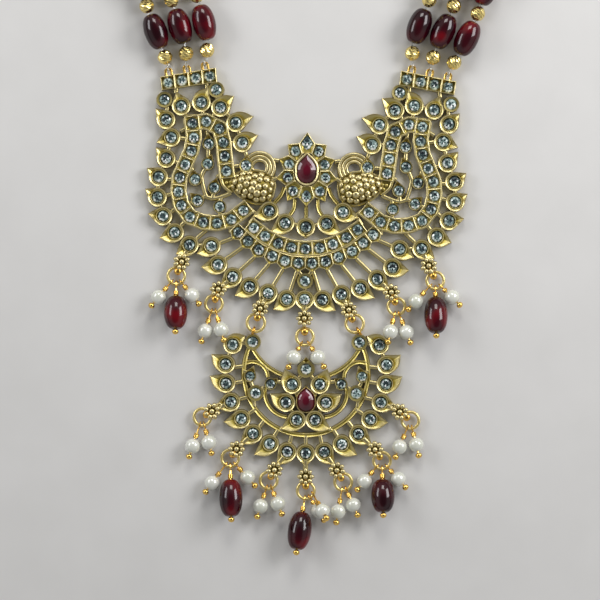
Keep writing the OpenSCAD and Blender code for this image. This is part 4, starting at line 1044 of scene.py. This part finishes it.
def link_line(side):
    """The middle of a link ring, and the way from the plaque's eye in it to the pendant's"""
    top = Vector((side * LINK_TOP[0], LINK_TOP[1]))
    bottom = pendant_place((side * PENDANT_EYE[0], PENDANT_EYE[1]))
    return (top + bottom) / 2, unit(bottom - top)


def drop_eye(shape, drop, rosette_place):
    """A drop's own eye, which stands in its ring"""
    ring = Vector(drop["ring"])
    out = unit(ring - rosette_place)
    eye = ring - out * RING_R
    bail(shape, eye, out, rosette_place)


def plaque_rosettes():
    """The plaque's seven rosettes"""
    return rosettes(ROSETTES, MIDDLE_ROSETTE)


def plaque_eyes():
    """The eyes under the plaque's rosettes"""
    shape = Shape()
    outer, inner, link_holder = ROSETTES
    holders = [mirrored(outer), mirrored(inner), MIDDLE_ROSETTE, inner, outer]
    for drop, row in zip(DROPS[:PLAQUE_DROPS], holders):
        drop_eye(shape, drop, Vector(row[:2]))
    for side in (-1, 1):
        middle, out = link_line(side)
        bail(shape, middle - out * LINK_R, out, Vector((side * link_holder[0], link_holder[1])))
    return shape


def side_of(strand):
    return -1 if strand[0] == "left" else 1


def staple_way(turn):
    return Vector((-math.sin(turn), math.cos(turn)))


def plaque_staples():
    """The cast staples on the bars that the strands hook into"""
    shape = Shape()
    for strand in STRANDS:
        crown = strand_points(strand)[0]
        way = staple_way(side_of(strand) * BAR_LOOP_TURN)
        across = Vector((way[1], -way[0]))
        bend = [crown - way * LOOP_HALF_W + LOOP_HALF_W * (across * math.cos(a) + way * math.sin(a))
                for a in (math.pi * k / 12 for k in range(13))]
        feet = [crown - way * LOOP_REACH + across * side * LOOP_HALF_W for side in (1, -1)]
        tube(shape, [(*p, LOOP_Z) for p in [feet[0]] + bend + [feet[1]]], LOOP_WIRE_R)
    return shape


# Cast pieces of the pendant

def pendant_leaves():
    right = Shape()
    leaves(right, PENDANT_LEAVES, True)
    cups(right, PENDANT_SMALL, PENDANT_SMALL_R)
    cups(right, PENDANT_CUPS, CUP_R)
    torus(right, (*PENDANT_CURL, RIM_Z - 0.25), CURL_R, CURL_WIRE_R, (0, 0, 1), steps=20, sides=8)
    own = both_sides(right)
    cups(own, [PENDANT_TOP], PENDANT_TOP_R)
    leaves(own, [PENDANT_BOTTOM])
    return hung(own)


def pendant_wires():
    right = Shape()
    for middle, r, first, last in PENDANT_ARCS:
        path = arc_path(middle, r, math.radians(first), math.radians(last), ARC_STEPS)
        strip(right, path, double_profile(PENDANT_ARC_W, RIB_Z))
    plain = rib_profile(RIB_W, RIB_Z)
    for row in PENDANT_STRUTS:
        strut(right, row, plain)
    own = both_sides(right)
    middle, r, first, last = MOON
    moon = arc_path(middle, r, math.radians(first), math.radians(last), MOON_STEPS)
    strip(own, moon, double_profile(MOON_W, RIB_Z))
    strut(own, PENDANT_MIDDLE_STRUT, plain)
    return hung(own)


def pendant_rosettes():
    return hung(rosettes(PENDANT_ROSETTES, PENDANT_MIDDLE_ROSETTE))


def pendant_eyes():
    """The eyes under the pendant's rosettes, and the two that it hangs from"""
    whole = Shape()
    left = [mirrored(row) for row in PENDANT_ROSETTES]
    holders = left + [PENDANT_MIDDLE_ROSETTE] + PENDANT_ROSETTES[::-1]
    for drop, row in zip(DROPS[PLAQUE_DROPS:], holders):
        drop_eye(whole, drop, pendant_place(row))
    for side in (-1, 1):
        middle, out = link_line(side)
        eye = middle + out * LINK_R
        standing_eye(whole, eye, out)
        tube(whole, [(*(eye + out * far), RING_Z) for far in PENDANT_STUB], EYE_WIRE_R)
    return whole


def pendant_bezel():
    return hung(bezel(PENDANT_BEZEL, PENDANT_STONE))


# Stones

def outline_of(width, height, power):
    """The distance of an oval or kite-shaped edge at an angle"""
    return lambda a: (abs(math.cos(a) / width) ** power + abs(math.sin(a) / height) ** power) ** (-1 / power)


def cut_stone(shape, middle, edge, z, turn):
    """A brilliant: a table in eight wedges, eight star facets, eight kites and sixteen rim facets"""
    def ring(share, height, count, offset):
        angles = [turn + 2 * math.pi * (k + offset) / count for k in range(count)]
        return [(middle[0] + share * edge(a) * math.cos(a), middle[1] + share * edge(a) * math.sin(a), height)
                for a in angles]

    base = len(shape.points)
    table = ring(TABLE_SHARE, z + TABLE_RISE, 8, 0)
    star = ring(STAR_SHARE, z + STAR_RISE, 8, 0.5)
    girdle = ring(1, z, 16, 0)
    foot = ring(FOOT_SHARE, z - FOOT_DEPTH, 16, 0)
    shape.points.extend([(*middle, z + TABLE_RISE)] + table + star + girdle + foot)
    # Where the points of the hub, table, star, girdle and foot begin
    hub, t, s, g, f = base, base + 1, base + 9, base + 17, base + 33
    tones = []
    foil = dice.uniform(*FOIL_TONES)

    def tone(low, high, k, count):
        """A facet's brightness, greater towards the wearer's feet, where the stones catch more light.
        It paints the facet's reflections and glints.
        """
        a = turn + 2 * math.pi * (k + 0.5) / count
        return dice.uniform(low, high) * (1 - LOWER_GLINT * math.sin(a)) + foil

    for k in range(8):
        after = (k + 1) % 8
        shape.faces += [
            (hub, t + k, t + after), (t + k, s + k, t + after), (t + after, s + k, g + 2 * after, s + after),
            (s + k, g + 2 * k, g + 2 * k + 1), (s + k, g + 2 * k + 1, g + 2 * after),
        ]
        tones += [tone(*WEDGE_TONES[k % 2], k, 8), tone(*STAR_TONES, k, 8), tone(*KITE_TONES, k + 0.5, 8)]
        tones += [tone(*RIM_TONES, 2 * k, 16), tone(*RIM_TONES, 2 * k + 1, 16)]
    for k in range(16):
        after = (k + 1) % 16
        shape.faces.append((g + k, f + k, f + after, g + after))
    shape.faces.append(tuple(f + k for k in range(16)))
    shape.shades.extend(tones + [UNDER_TONE] * 17)


def round_stones(shape, places, r, z=STONE_Z):
    for place in places:
        cut_stone(shape, place[:2], outline_of(r, r, 2), z, dice.uniform(0, math.tau))


def plaque_stones():
    shape = Shape()
    right = OUTER_LEAVES + CLUSTER_LEAVES + UNDER_LEAVES + ROUND_CUPS + CHANNEL_PATH
    right = right + [p[3] for p in PETALS[1:-1]]
    middle = [row[:2] for row in MIDDLE_LEAVES] + [MIDDLE_CUP] + CRESCENT_PATH + HONEYCOMB_PATH
    round_stones(shape, on_both_sides(right) + middle, STONE_R)
    bar = [in_bar((k + 0.5) / BAR_STONES, 0.5) for k in range(BAR_STONES)]
    round_stones(shape, on_both_sides(bar), STONE_R, BAR_STONE_Z)
    round_stones(shape, on_both_sides(VINE_LEAVES + [VINE_END]), VINE_STONE_R)
    round_stones(shape, on_both_sides([CREST_LEAF]), STONE_R)
    for petal, (width, height, power, z) in ((PETALS[0], TOP_PETAL_STONE), (PETALS[-1], BOTTOM_PETAL_STONE)):
        cut_stone(shape, petal[3], outline_of(width, height, power), z, math.pi / 8)
    return shape


def pendant_stones():
    own = Shape()
    right = [row[:2] for row in PENDANT_LEAVES + PENDANT_CUPS]
    round_stones(own, on_both_sides(right) + [PENDANT_TOP[:2], PENDANT_BOTTOM[:2]], STONE_R)
    round_stones(own, on_both_sides(PENDANT_SMALL), SMALL_STONE_R)
    return hung(own)


def pear_stone(row, top):
    """A pear-cut stone with a long table at the height top"""
    (x, y), r, reach = row
    outline = [pear_edge(((0, 0), r, reach), angle) for angle in crowded_angles(PEAR_SIDES, PEAR_CROWDING)]
    centre = Vector((0, (reach - r) * PEAR_DRAWN))
    rings = []
    for share, z in [(PEAR_FOOT, SEAT_Z)] + [(share, top - drop) for share, drop in PEAR_LEVELS]:
        rings.append([(x + q[0], y + q[1], z) for q in ((p - centre) * share + centre for p in outline)])
    shape = Shape()
    shape.loft(rings, [0] * len(rings))
    return shape


# Rings, pins and beads of the drops

def flat_rings(places, r):
    shape = Shape()
    for place in places:
        torus(shape, (*place, RING_Z), r, RING_WIRE_R, (0, 0, 1), steps=56, sides=16)
    return shape


def drop_rings():
    return flat_rings([drop["ring"] for drop in DROPS], RING_R)


def link_rings():
    return flat_rings([link_line(side)[0] for side in (-1, 1)], LINK_R)


def drop_beads(drop):
    """Each bead of a drop: its middle, half length, and its pin's loop on the ring"""
    ring = Vector((*drop["ring"], RING_Z))
    beads = []
    for k, middle in enumerate(drop["pearls"]):
        beads.append((Vector(middle), PEARL_R, drop.get("slid", 0) if k == 1 else 0))
    if "ruby" in drop:
        beads.append((Vector((*drop["ruby"], DROP_REST_Z)), drop["ruby_len"] / 2, 0))
    found = []
    for middle, half, slid in beads:
        out = middle - ring
        turn = math.atan2(out[1], out[0]) + math.radians(slid)
        loop = ring + RING_R * Vector((math.cos(turn), math.sin(turn), 0))
        found.append((middle, half, loop))
    return found


def headpin(shape, middle, half, loop):
    """A loop round the ring, the wraps on the bead, the wire through it and the ball below it"""
    run = (middle - loop).length
    axis = unit(middle - loop)
    across = frame_of(axis)[0]
    torus(shape, loop, PIN_LOOP_R, PIN_WIRE_R, across, steps=28, sides=8)
    tip = run + half + PIN_BALL_R + CLEARANCE
    tube(shape, [loop + axis * PIN_LOOP_R, loop + axis * tip], PIN_WIRE_R, sides=8)
    wrap_end = run - half - CLEARANCE
    wrap_start = max(PIN_LOOP_R, wrap_end - WRAP_LEN)
    turns = max(1, round((wrap_end - wrap_start) / WRAP_PITCH))
    up = across.cross(axis)
    coil = []
    steps = turns * WRAP_STEPS
    for k in range(steps + 1):
        angle = 2 * math.pi * k / WRAP_STEPS
        along = lerp(wrap_start + WRAP_WIRE_R, wrap_end - WRAP_WIRE_R, k / steps)
        coil.append(loop + axis * along + WRAP_R * (across * math.cos(angle) + up * math.sin(angle)))
    tube(shape, coil, WRAP_WIRE_R, sides=7, shade=0.1)
    ball(shape, loop + axis * tip, PIN_BALL_WIDE, axis, flat=PIN_BALL_R / PIN_BALL_WIDE)


def pins(drops):
    shape = Shape()
    for drop in drops:
        for middle, half, loop in drop_beads(drop):
            headpin(shape, middle, half, loop)
    return shape


# A pearl's length along its bore beside its width
PEARL_SQUAT = (0.955, 1)


def pearls():
    """Drilled pearls, each a little out of round"""
    shape = Shape()
    for drop in DROPS:
        for middle, _, loop in drop_beads(drop)[:2]:
            outer = ball_profile(PEARL_R, dice.uniform(*PEARL_SQUAT), 0.09, 16)
            revolve(shape, drilled(outer), middle, middle - loop, 28, closed=True)
    return shape


# The flat ends of an oval bead beside its middle, and its rings from the middle to each end
OVAL_END_SHARE = 0.3
OVAL_STEPS = 12


def oval_profile(r, half):
    """The outside of an oval bead, from end to end"""
    end_r = r * OVAL_END_SHARE
    rows = []
    for k in range(-OVAL_STEPS, OVAL_STEPS + 1):
        t = math.sin(math.pi / 2 * k / OVAL_STEPS)
        rows.append((end_r + (r - end_r) * math.sqrt(1 - t * t), t * half))
    return rows


def drop_rubies():
    shape = Shape()
    for drop in DROPS:
        for middle, half, loop in drop_beads(drop)[2:]:
            revolve(shape, drilled(oval_profile(DROP_RUBY_R, half)), middle, middle - loop, 40, closed=True)
    return shape


# Strands

def strand_points(strand):
    """The middle route moved sideways, by the staples' spacing at the bar and the strands' own further on"""
    side = side_of(strand)
    points = smooth_path(LEFT_ROUTE if side < 0 else RIGHT_ROUTE, ROUTE_STEP)
    bar_edge = Vector(BAR_CORNERS[0]) - Vector(BAR_CORNERS[1])
    bar_out = unit(Vector((side * bar_edge[0], bar_edge[1])))
    moved = []
    run = 0
    for i, p in enumerate(points):
        run += (p - points[i - 1]).length if i else 0
        eased = smooth(run / SPREAD_RUN)
        out = unit(bar_out * (1 - eased) - normal_of(direction_at(points, i)) * side * eased)
        moved.append(p + out * strand[2] * lerp(BAR_SPREAD, STRAND_GAP, eased))
    return moved


def strand_gaps(strand):
    """The places between the beads of a strand, where its thread shows"""
    points = strand_points(strand)
    runs = [0]
    for i in range(1, len(points)):
        runs.append(runs[-1] + (points[i] - points[i - 1]).length)
    total = runs[-1]

    def at(run):
        i = next((k for k in range(1, len(runs)) if runs[k] >= run), len(runs) - 1)
        return points[i - 1].lerp(points[i], (run - runs[i - 1]) / (runs[i] - runs[i - 1]))

    pairs = int((total - 2 * STRAND_START - BALL_D - BEAD_SLACK) // (BEAD_LEN + BALL_D + 2 * BEAD_SLACK))
    slack = (total - 2 * STRAND_START - pairs * (BEAD_LEN + BALL_D) - BALL_D) / (2 * pairs + 1)
    gaps = []
    for i in range(2 * pairs + 2):
        run = STRAND_START + i // 2 * (BEAD_LEN + BALL_D + 2 * slack) + i % 2 * (BALL_D + slack)
        near = min(run, total - run)
        height = LOOP_Z + (BEAD_R - LOOP_Z) * smooth(near / (STRAND_START + BALL_D))
        gaps.append(Vector((*at(run), height)))
    return gaps


def strand_rubies(strand):
    shape = Shape()
    gaps = strand_gaps(strand)
    for i in range(1, len(gaps) - 2, 2):
        middle = (gaps[i] + gaps[i + 1]) / 2
        outer = oval_profile(BEAD_R * dice.uniform(*BEAD_SIZES), BEAD_LEN / 2)
        revolve(shape, drilled(outer), middle, gaps[i + 1] - gaps[i], 32, closed=True)
    return shape


def strand_balls(strand):
    """Gold balls with cut facets, and the bore through each"""
    shape = Shape()
    gaps = strand_gaps(strand)
    outer = ball_profile(BALL_D / 2, 1, 0.08, 10)
    for i in range(0, len(gaps) - 1, 2):
        middle = (gaps[i] + gaps[i + 1]) / 2
        first = len(shape.points)
        revolve(shape, drilled(outer), middle, gaps[i + 1] - gaps[i], 16, closed=True, twist=0.5)
        shape.points[first:] = [middle + (Vector(p) - middle) * dice.uniform(*FACET_DEPTHS)
                                for p in shape.points[first:]]
    return shape


def strand_thread(strand):
    """The clear thread, hooked round the bar's staple at one end and the clasp's at the other"""
    gaps = strand_gaps(strand)
    points = strand_points(strand)
    side = side_of(strand)
    start_way = staple_way(side * BAR_LOOP_TURN)
    end_way = staple_way(-side * math.pi / 2)

    def hook(at, way):
        angles = [math.radians(a) for a in HOOK_ANGLES]
        return [(*(at + way * math.cos(a) * HOOK_R), LOOP_Z + math.sin(a) * HOOK_R) for a in angles]

    path = hook(points[0], start_way)[::-1] + gaps + hook(points[-1], end_way)
    shape = Shape()
    tube(shape, smooth_path(path, 3), THREAD_R, sides=8)
    return shape


# Materials

def new_material(name):
    material = bpy.data.materials.new(name)
    material.use_nodes = True
    return material, material.node_tree.nodes, material.node_tree.links


def add_noise(nodes, links, scale, detail=3.0):
    """Noise in the piece's own place, its size given as lumps in a metre"""
    place = nodes.new("ShaderNodeTexCoord")
    noise = nodes.new("ShaderNodeTexNoise")
    noise.inputs["Scale"].default_value = scale
    noise.inputs["Detail"].default_value = detail
    links.new(place.outputs["Object"], noise.inputs["Vector"])
    return noise.outputs["Fac"]


def add_bump(nodes, links, height, strength, distance):
    bump = nodes.new("ShaderNodeBump")
    bump.inputs["Strength"].default_value = strength
    bump.inputs["Distance"].default_value = distance
    links.new(height, bump.inputs["Height"])
    links.new(bump.outputs["Normal"], nodes["Principled BSDF"].inputs["Normal"])


def add_ramp(nodes, links, factor, stops):
    ramp = nodes.new("ShaderNodeValToRGB")
    while len(ramp.color_ramp.elements) < len(stops):
        ramp.color_ramp.elements.new(0.5)
    for element, (place, colour) in zip(ramp.color_ramp.elements, stops):
        element.position = place
        element.color = (*colour, 1)
    links.new(factor, ramp.inputs["Fac"])
    return ramp.outputs["Color"]


def add_sum(nodes, links, a, b, share):
    """a plus a share of b, both from 0 to 1, with b's own middle taken as none"""
    near = nodes.new("ShaderNodeMath")
    near.operation = "MULTIPLY_ADD"
    near.inputs[1].default_value = share
    near.inputs[2].default_value = -share / 2
    links.new(b, near.inputs[0])
    total = nodes.new("ShaderNodeMath")
    total.operation = "ADD"
    total.use_clamp = True
    links.new(a, total.inputs[0])
    links.new(near.outputs[0], total.inputs[1])
    return total.outputs[0]


def add_range(nodes, links, factor, low, high):
    span = nodes.new("ShaderNodeMapRange")
    span.inputs["To Min"].default_value = low
    span.inputs["To Max"].default_value = high
    links.new(factor, span.inputs["Value"])
    return span.outputs["Result"]


# Lumps in a metre, and in metres how deep they are: the golds' spots, their dents and the pearl's skin
SPOT_SCALE = 700
DENT_SCALE = 1800
DENT_DEPTH = 0.00012
SKIN_SCALE = 500
SKIN_DEPTH = 0.0002

# Golds: colour at shade 0, on rubbed rims painted as lit, plain, and at shade 1, in hollows with patina and
# painted shade, roughness of the first and the last, then how strong its dents and its spots are
GOLDS = {
    "cast_gold": ((0.66, 0.57, 0.30), (0.46, 0.38, 0.095), (0.11, 0.078, 0.011), 0.36, 0.5, 0.25, 0.35),
    "gold_wire": ((0.86, 0.70, 0.28), (0.62, 0.44, 0.11), (0.3, 0.17, 0.03), 0.36, 0.4, 0, 0),
    # A warmer, darker gold for pins, staples and eyes; on the eyes and their stems it is painted shade and
    # warm reflection
    "warm_shaded_gold": ((0.88, 0.58, 0.15), (0.68, 0.37, 0.06), (0.3, 0.13, 0.02), 0.2, 0.35, 0.02, 0.15),
    "cut_gold": ((0.92, 0.74, 0.28), (0.78, 0.56, 0.14), (0.40, 0.23, 0.04), 0.18, 0.3, 0.1, 0.35),
}


def plated_gold(name):
    """Plated metal, bright on its rubbed, lit rims and dark in its hollows, from patina and painted shade"""
    bright, middle, dark, smooth_roughness, rough_roughness, dents, spots = GOLDS[name]
    material, nodes, links = new_material(name)
    shader = nodes["Principled BSDF"]
    shader.inputs["Metallic"].default_value = 1
    # The shade attribute paints shade into the colour and roughness; the noise spots add real wear
    patina_and_shade = nodes.new("ShaderNodeAttribute")
    patina_and_shade.attribute_name = "shade"
    shade_and_wear = add_sum(nodes, links, patina_and_shade.outputs["Fac"], add_noise(nodes, links, SPOT_SCALE), spots)
    colour = add_ramp(nodes, links, shade_and_wear, [(0, bright), (0.4, middle), (1, dark)])
    links.new(colour, shader.inputs["Base Color"])
    links.new(add_range(nodes, links, shade_and_wear, smooth_roughness, rough_roughness), shader.inputs["Roughness"])
    add_bump(nodes, links, add_noise(nodes, links, DENT_SCALE, 4), dents, DENT_DEPTH)
    return material


def white_stones():
    """Pale cut stones over a dark foil, each facet's brightness painting its reflections and glints"""
    material, nodes, links = new_material("white_stones")
    shader = nodes["Principled BSDF"]
    facet = nodes.new("ShaderNodeAttribute")
    facet.attribute_name = "tone"
    stops = [(0, (0.008, 0.012, 0.017)), (0.3, (0.045, 0.077, 0.08)), (0.55, (0.25, 0.36, 0.34)),
             (0.8, (0.68, 0.81, 0.77)), (1, (0.96, 0.97, 0.96))]
    links.new(add_ramp(nodes, links, facet.outputs["Fac"], stops), shader.inputs["Base Color"])
    shader.inputs["Roughness"].default_value = 0.12
    shader.inputs["Coat Weight"].default_value = 1
    shader.inputs["Coat Roughness"].default_value = 0.03
    return material


# Materials whose colour follows noise: its scale and detail, the colours along it, and the shader's constants
CLOUDED = {
    "pear_ruby": (
        150, 1,
        [(0.35, (0.02, 0.0004, 0.003)), (0.52, (0.085, 0.0015, 0.01)), (0.66, (0.15, 0.002, 0.02))],
        {"Specular IOR Level": 0.32, "Roughness": 0.12, "IOR": 1.6, "Coat Weight": 0.6},
    ),
    "red_bead": (
        150, 1,
        [(0.35, (0.016, 0.0005, 0.003)), (0.52, (0.05, 0.0008, 0.005)), (0.66, (0.15, 0.0015, 0.006))],
        {"Specular IOR Level": 0.32, "Roughness": 0.08, "IOR": 1.6, "Transmission Weight": 0.15},
    ),
    "pearl": (
        220, 2, [(0.3, (0.62, 0.64, 0.53)), (0.7, (0.72, 0.73, 0.66))],
        {"Roughness": 0.25, "IOR": 1.65, "Coat Weight": 1, "Coat IOR": 1.8, "Coat Roughness": 0.14},
    ),
    "clear_thread": (
        900, 2, [(0.3, (0.80, 0.83, 0.82)), (0.7, (0.93, 0.95, 0.94))],
        {"Roughness": 0.12, "Transmission Weight": 0.85, "IOR": 1.5},
    ),
    "pale_floor": (60, 3, [(0.2, (0.60, 0.595, 0.58)), (0.8, (0.64, 0.635, 0.62))], {"Roughness": 0.8}),
}


def clouded(name):
    material, nodes, links = new_material(name)
    shader = nodes["Principled BSDF"]
    scale, detail, stops, constants = CLOUDED[name]
    colour = add_ramp(nodes, links, add_noise(nodes, links, scale, detail), stops)
    links.new(colour, shader.inputs["Base Color"])
    for socket, value in constants.items():
        shader.inputs[socket].default_value = value
    return material


def pearl_skin():
    """Pearl with a faintly uneven skin"""
    material = clouded("pearl")
    nodes, links = material.node_tree.nodes, material.node_tree.links
    add_bump(nodes, links, add_noise(nodes, links, SKIN_SCALE, 2), 0.15, SKIN_DEPTH)
    return material


# Pieces in the scene

SHARP_ANGLE = math.radians(35)


def make_piece(name, shape, material, nodes, facets=False):
    """Turns a shape into an object that stands for the named nodes"""
    mesh = bpy.data.meshes.new(name)
    points = [(p[0] * MM, (p[1] + FLOWER_Y) * MM, p[2] * MM) for p in shape.points]
    mesh.from_pydata(points, [], shape.faces)
    tidy = bmesh.new()
    tidy.from_mesh(mesh)
    bmesh.ops.recalc_face_normals(tidy, faces=tidy.faces)
    tidy.to_mesh(mesh)
    tidy.free()
    mesh.polygons.foreach_set("use_smooth", [not facets] * len(mesh.polygons))
    if not facets:
        mesh.set_sharp_from_angle(angle=SHARP_ANGLE)
    # White stones have a painted brightness for each face, all else a partly painted shade for each point
    if len(shape.shades) == len(points):
        mesh.attributes.new("shade", "FLOAT", "POINT").data.foreach_set("value", shape.shades)
    else:
        mesh.attributes.new("tone", "FLOAT", "FACE").data.foreach_set("value", shape.shades)
    mesh.materials.append(material)
    piece = bpy.data.objects.new(name, mesh)
    bpy.context.scene.collection.objects.link(piece)
    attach(piece, "root")
    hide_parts(*nodes)
    return piece


def make_pieces():
    gold, wire, warm_shaded, cut_gold = (plated_gold(name) for name in GOLDS)
    stones = white_stones()
    pear = clouded("pear_ruby")
    glass = clouded("red_bead")
    pearl = pearl_skin()
    thread = clouded("clear_thread")

    # Each piece of a casting is named after it. The order counts, because some of them draw random numbers.
    castings = [
        ("plaque_leaves", plaque_leaves, gold), ("plaque_cells", plaque_cells, gold),
        ("plaque_ribs", plaque_ribs, gold), ("plaque_bezel", plaque_bezel, gold),
        ("plaque_peacocks", plaque_peacocks, gold), ("plaque_rosettes", plaque_rosettes, gold),
        ("plaque_eyes", plaque_eyes, warm_shaded), ("plaque_staples", plaque_staples, warm_shaded),
        ("plaque_stones", plaque_stones, stones), ("pendant_leaves", pendant_leaves, gold),
        ("pendant_wires", pendant_wires, gold), ("pendant_rosettes", pendant_rosettes, gold),
        ("pendant_eyes", pendant_eyes, warm_shaded), ("pendant_bezel", pendant_bezel, gold),
        ("pendant_stones", pendant_stones, stones),
    ]
    for name, build, material in castings:
        make_piece(name, build(), material, [name.split("_")[0]], facets=material is stones)
    plaque_pear = pear_stone(FLOWER_STONE, FLOWER_STONE_TOP)
    make_piece("plaque_pear", plaque_pear, pear, ["plaque_ruby"], facets=True)
    pendant_pear = hung(pear_stone(PENDANT_STONE, PENDANT_STONE_TOP))
    make_piece("pendant_pear", pendant_pear, pear, ["pendant_ruby"], facets=True)
    make_piece("link_rings", link_rings(), wire, ["link_ring_left", "link_ring_right"])
    numbers = range(1, len(DROPS) + 1)
    make_piece("drop_rings", drop_rings(), wire, [f"drop_ring_{n}" for n in numbers])
    make_piece("plaque_headpins", pins(DROPS[:PLAQUE_DROPS]), warm_shaded, ["plaque_pins"])
    make_piece("pendant_headpins", pins(DROPS[PLAQUE_DROPS:]), warm_shaded, ["pendant_pins"])
    make_piece("drop_pearls", pearls(), pearl, [f"drop_pearls_{n}" for n in numbers])
    ruby_nodes = [f"drop_ruby_{n}" for n in numbers if "ruby" in DROPS[n - 1]]
    make_piece("drop_rubies", drop_rubies(), glass, ruby_nodes)
    for strand in STRANDS:
        name = f"{strand[0]}_{strand[1]}"
        make_piece(f"strand_rubies_{name}", strand_rubies(strand), glass, [f"rubies_{name}"])
        make_piece(f"strand_balls_{name}", strand_balls(strand), cut_gold, [f"golds_{name}"],
                   facets=True)
        make_piece(f"strand_thread_{name}", strand_thread(strand), thread, [f"thread_{name}"])
    for node in ("end_bar_left", "end_bar_right", "clasp"):
        node_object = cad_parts[node]
        node_object.data.materials.clear()
        node_object.data.materials.append(wire)


# Studio

def photo_place(px, py):
    """A pixel of the photograph as a place beside the flower's stone"""
    a = (px - FLOWER_PIXEL[0]) * PIXEL_MM
    b = (py - FLOWER_PIXEL[1]) * PIXEL_MM
    c, s = math.cos(PHOTO_TURN), math.sin(PHOTO_TURN)
    return Vector((a * c + b * s, a * s - b * c))


CAMERA_HEIGHT = 0.7
VIEWED_Z = 0.002
SENSOR_MM = 36


def make_camera():
    """Straight above, with the photograph's frame and turn"""
    data = bpy.data.cameras.new("camera")
    camera = bpy.data.objects.new("camera", data)
    bpy.context.scene.collection.objects.link(camera)
    middle = photo_place(PHOTO_PIXELS / 2, PHOTO_PIXELS / 2)
    camera.location = (middle[0] * MM, (middle[1] + FLOWER_Y) * MM, CAMERA_HEIGHT + VIEWED_Z)
    camera.rotation_euler = (0, 0, PHOTO_TURN)
    data.sensor_width = SENSOR_MM
    data.lens = SENSOR_MM * CAMERA_HEIGHT / (PHOTO_PIXELS * PIXEL_MM * MM)
    bpy.context.scene.camera = camera


# Lights: place, the place that it faces, width, height, power and colour
LIGHTS = {
    "top_light": ((0.02, 0.46, 0.40), (0, -0.03, 0), 0.26, 0.20, 1.2, (1, 0.99, 0.96)),
    "left_strip": ((-0.38, 0.14, 0.24), (0, 0.14, 0), 0.30, 0.14, 0.8, (0.97, 0.97, 1)),
    "right_strip": ((0.36, 0.14, 0.27), (0, 0.14, 0), 0.30, 0.20, 1.6, (0.99, 0.98, 1)),
}


def make_lights():
    for name, (place, target, width, height, power, colour) in LIGHTS.items():
        data = bpy.data.lights.new(name, "AREA")
        data.shape = "RECTANGLE"
        data.size = width
        data.size_y = height
        data.energy = power
        data.color = colour
        light = bpy.data.objects.new(name, data)
        bpy.context.scene.collection.objects.link(light)
        light.location = place
        light.rotation_euler = (Vector(target) - Vector(place)).to_track_quat("-Z", "Y").to_euler()


# The studio's brightness from straight below to straight above, darkest round the camera
SKY = [(0, (0.15, 0.15, 0.15)), (0.5, (0.2, 0.2, 0.2)), (0.66, (0.5, 0.5, 0.5)), (0.86, (0.5, 0.5, 0.5)),
       (0.94, (0.14, 0.14, 0.14)), (1, (0.1, 0.1, 0.1))]


def make_world():
    world = bpy.data.worlds.new("studio")
    world.use_nodes = True
    nodes, links = world.node_tree.nodes, world.node_tree.links
    way = nodes.new("ShaderNodeTexCoord")
    split = nodes.new("ShaderNodeSeparateXYZ")
    links.new(way.outputs["Generated"], split.inputs[0])
    height = nodes.new("ShaderNodeMapRange")
    height.inputs["From Min"].default_value = -1
    links.new(split.outputs["Z"], height.inputs["Value"])
    links.new(add_ramp(nodes, links, height.outputs["Result"], SKY), nodes["Background"].inputs["Color"])
    bpy.context.scene.world = world


FLOOR_SIZE = 3.0


def make_floor():
    half = FLOOR_SIZE / 2
    mesh = bpy.data.meshes.new("floor")
    corners = [(-half, -half, 0), (half, -half, 0), (half, half, 0), (-half, half, 0)]
    mesh.from_pydata(corners, [], [(0, 1, 2, 3)])
    mesh.materials.append(clouded("pale_floor"))
    floor = bpy.data.objects.new("floor", mesh)
    bpy.context.scene.collection.objects.link(floor)
    floor.location = (0, 0, cad_low[2])


make_camera()
make_pieces()
make_floor()
make_lights()
make_world()
bpy.context.scene.view_settings.view_transform = "Standard"
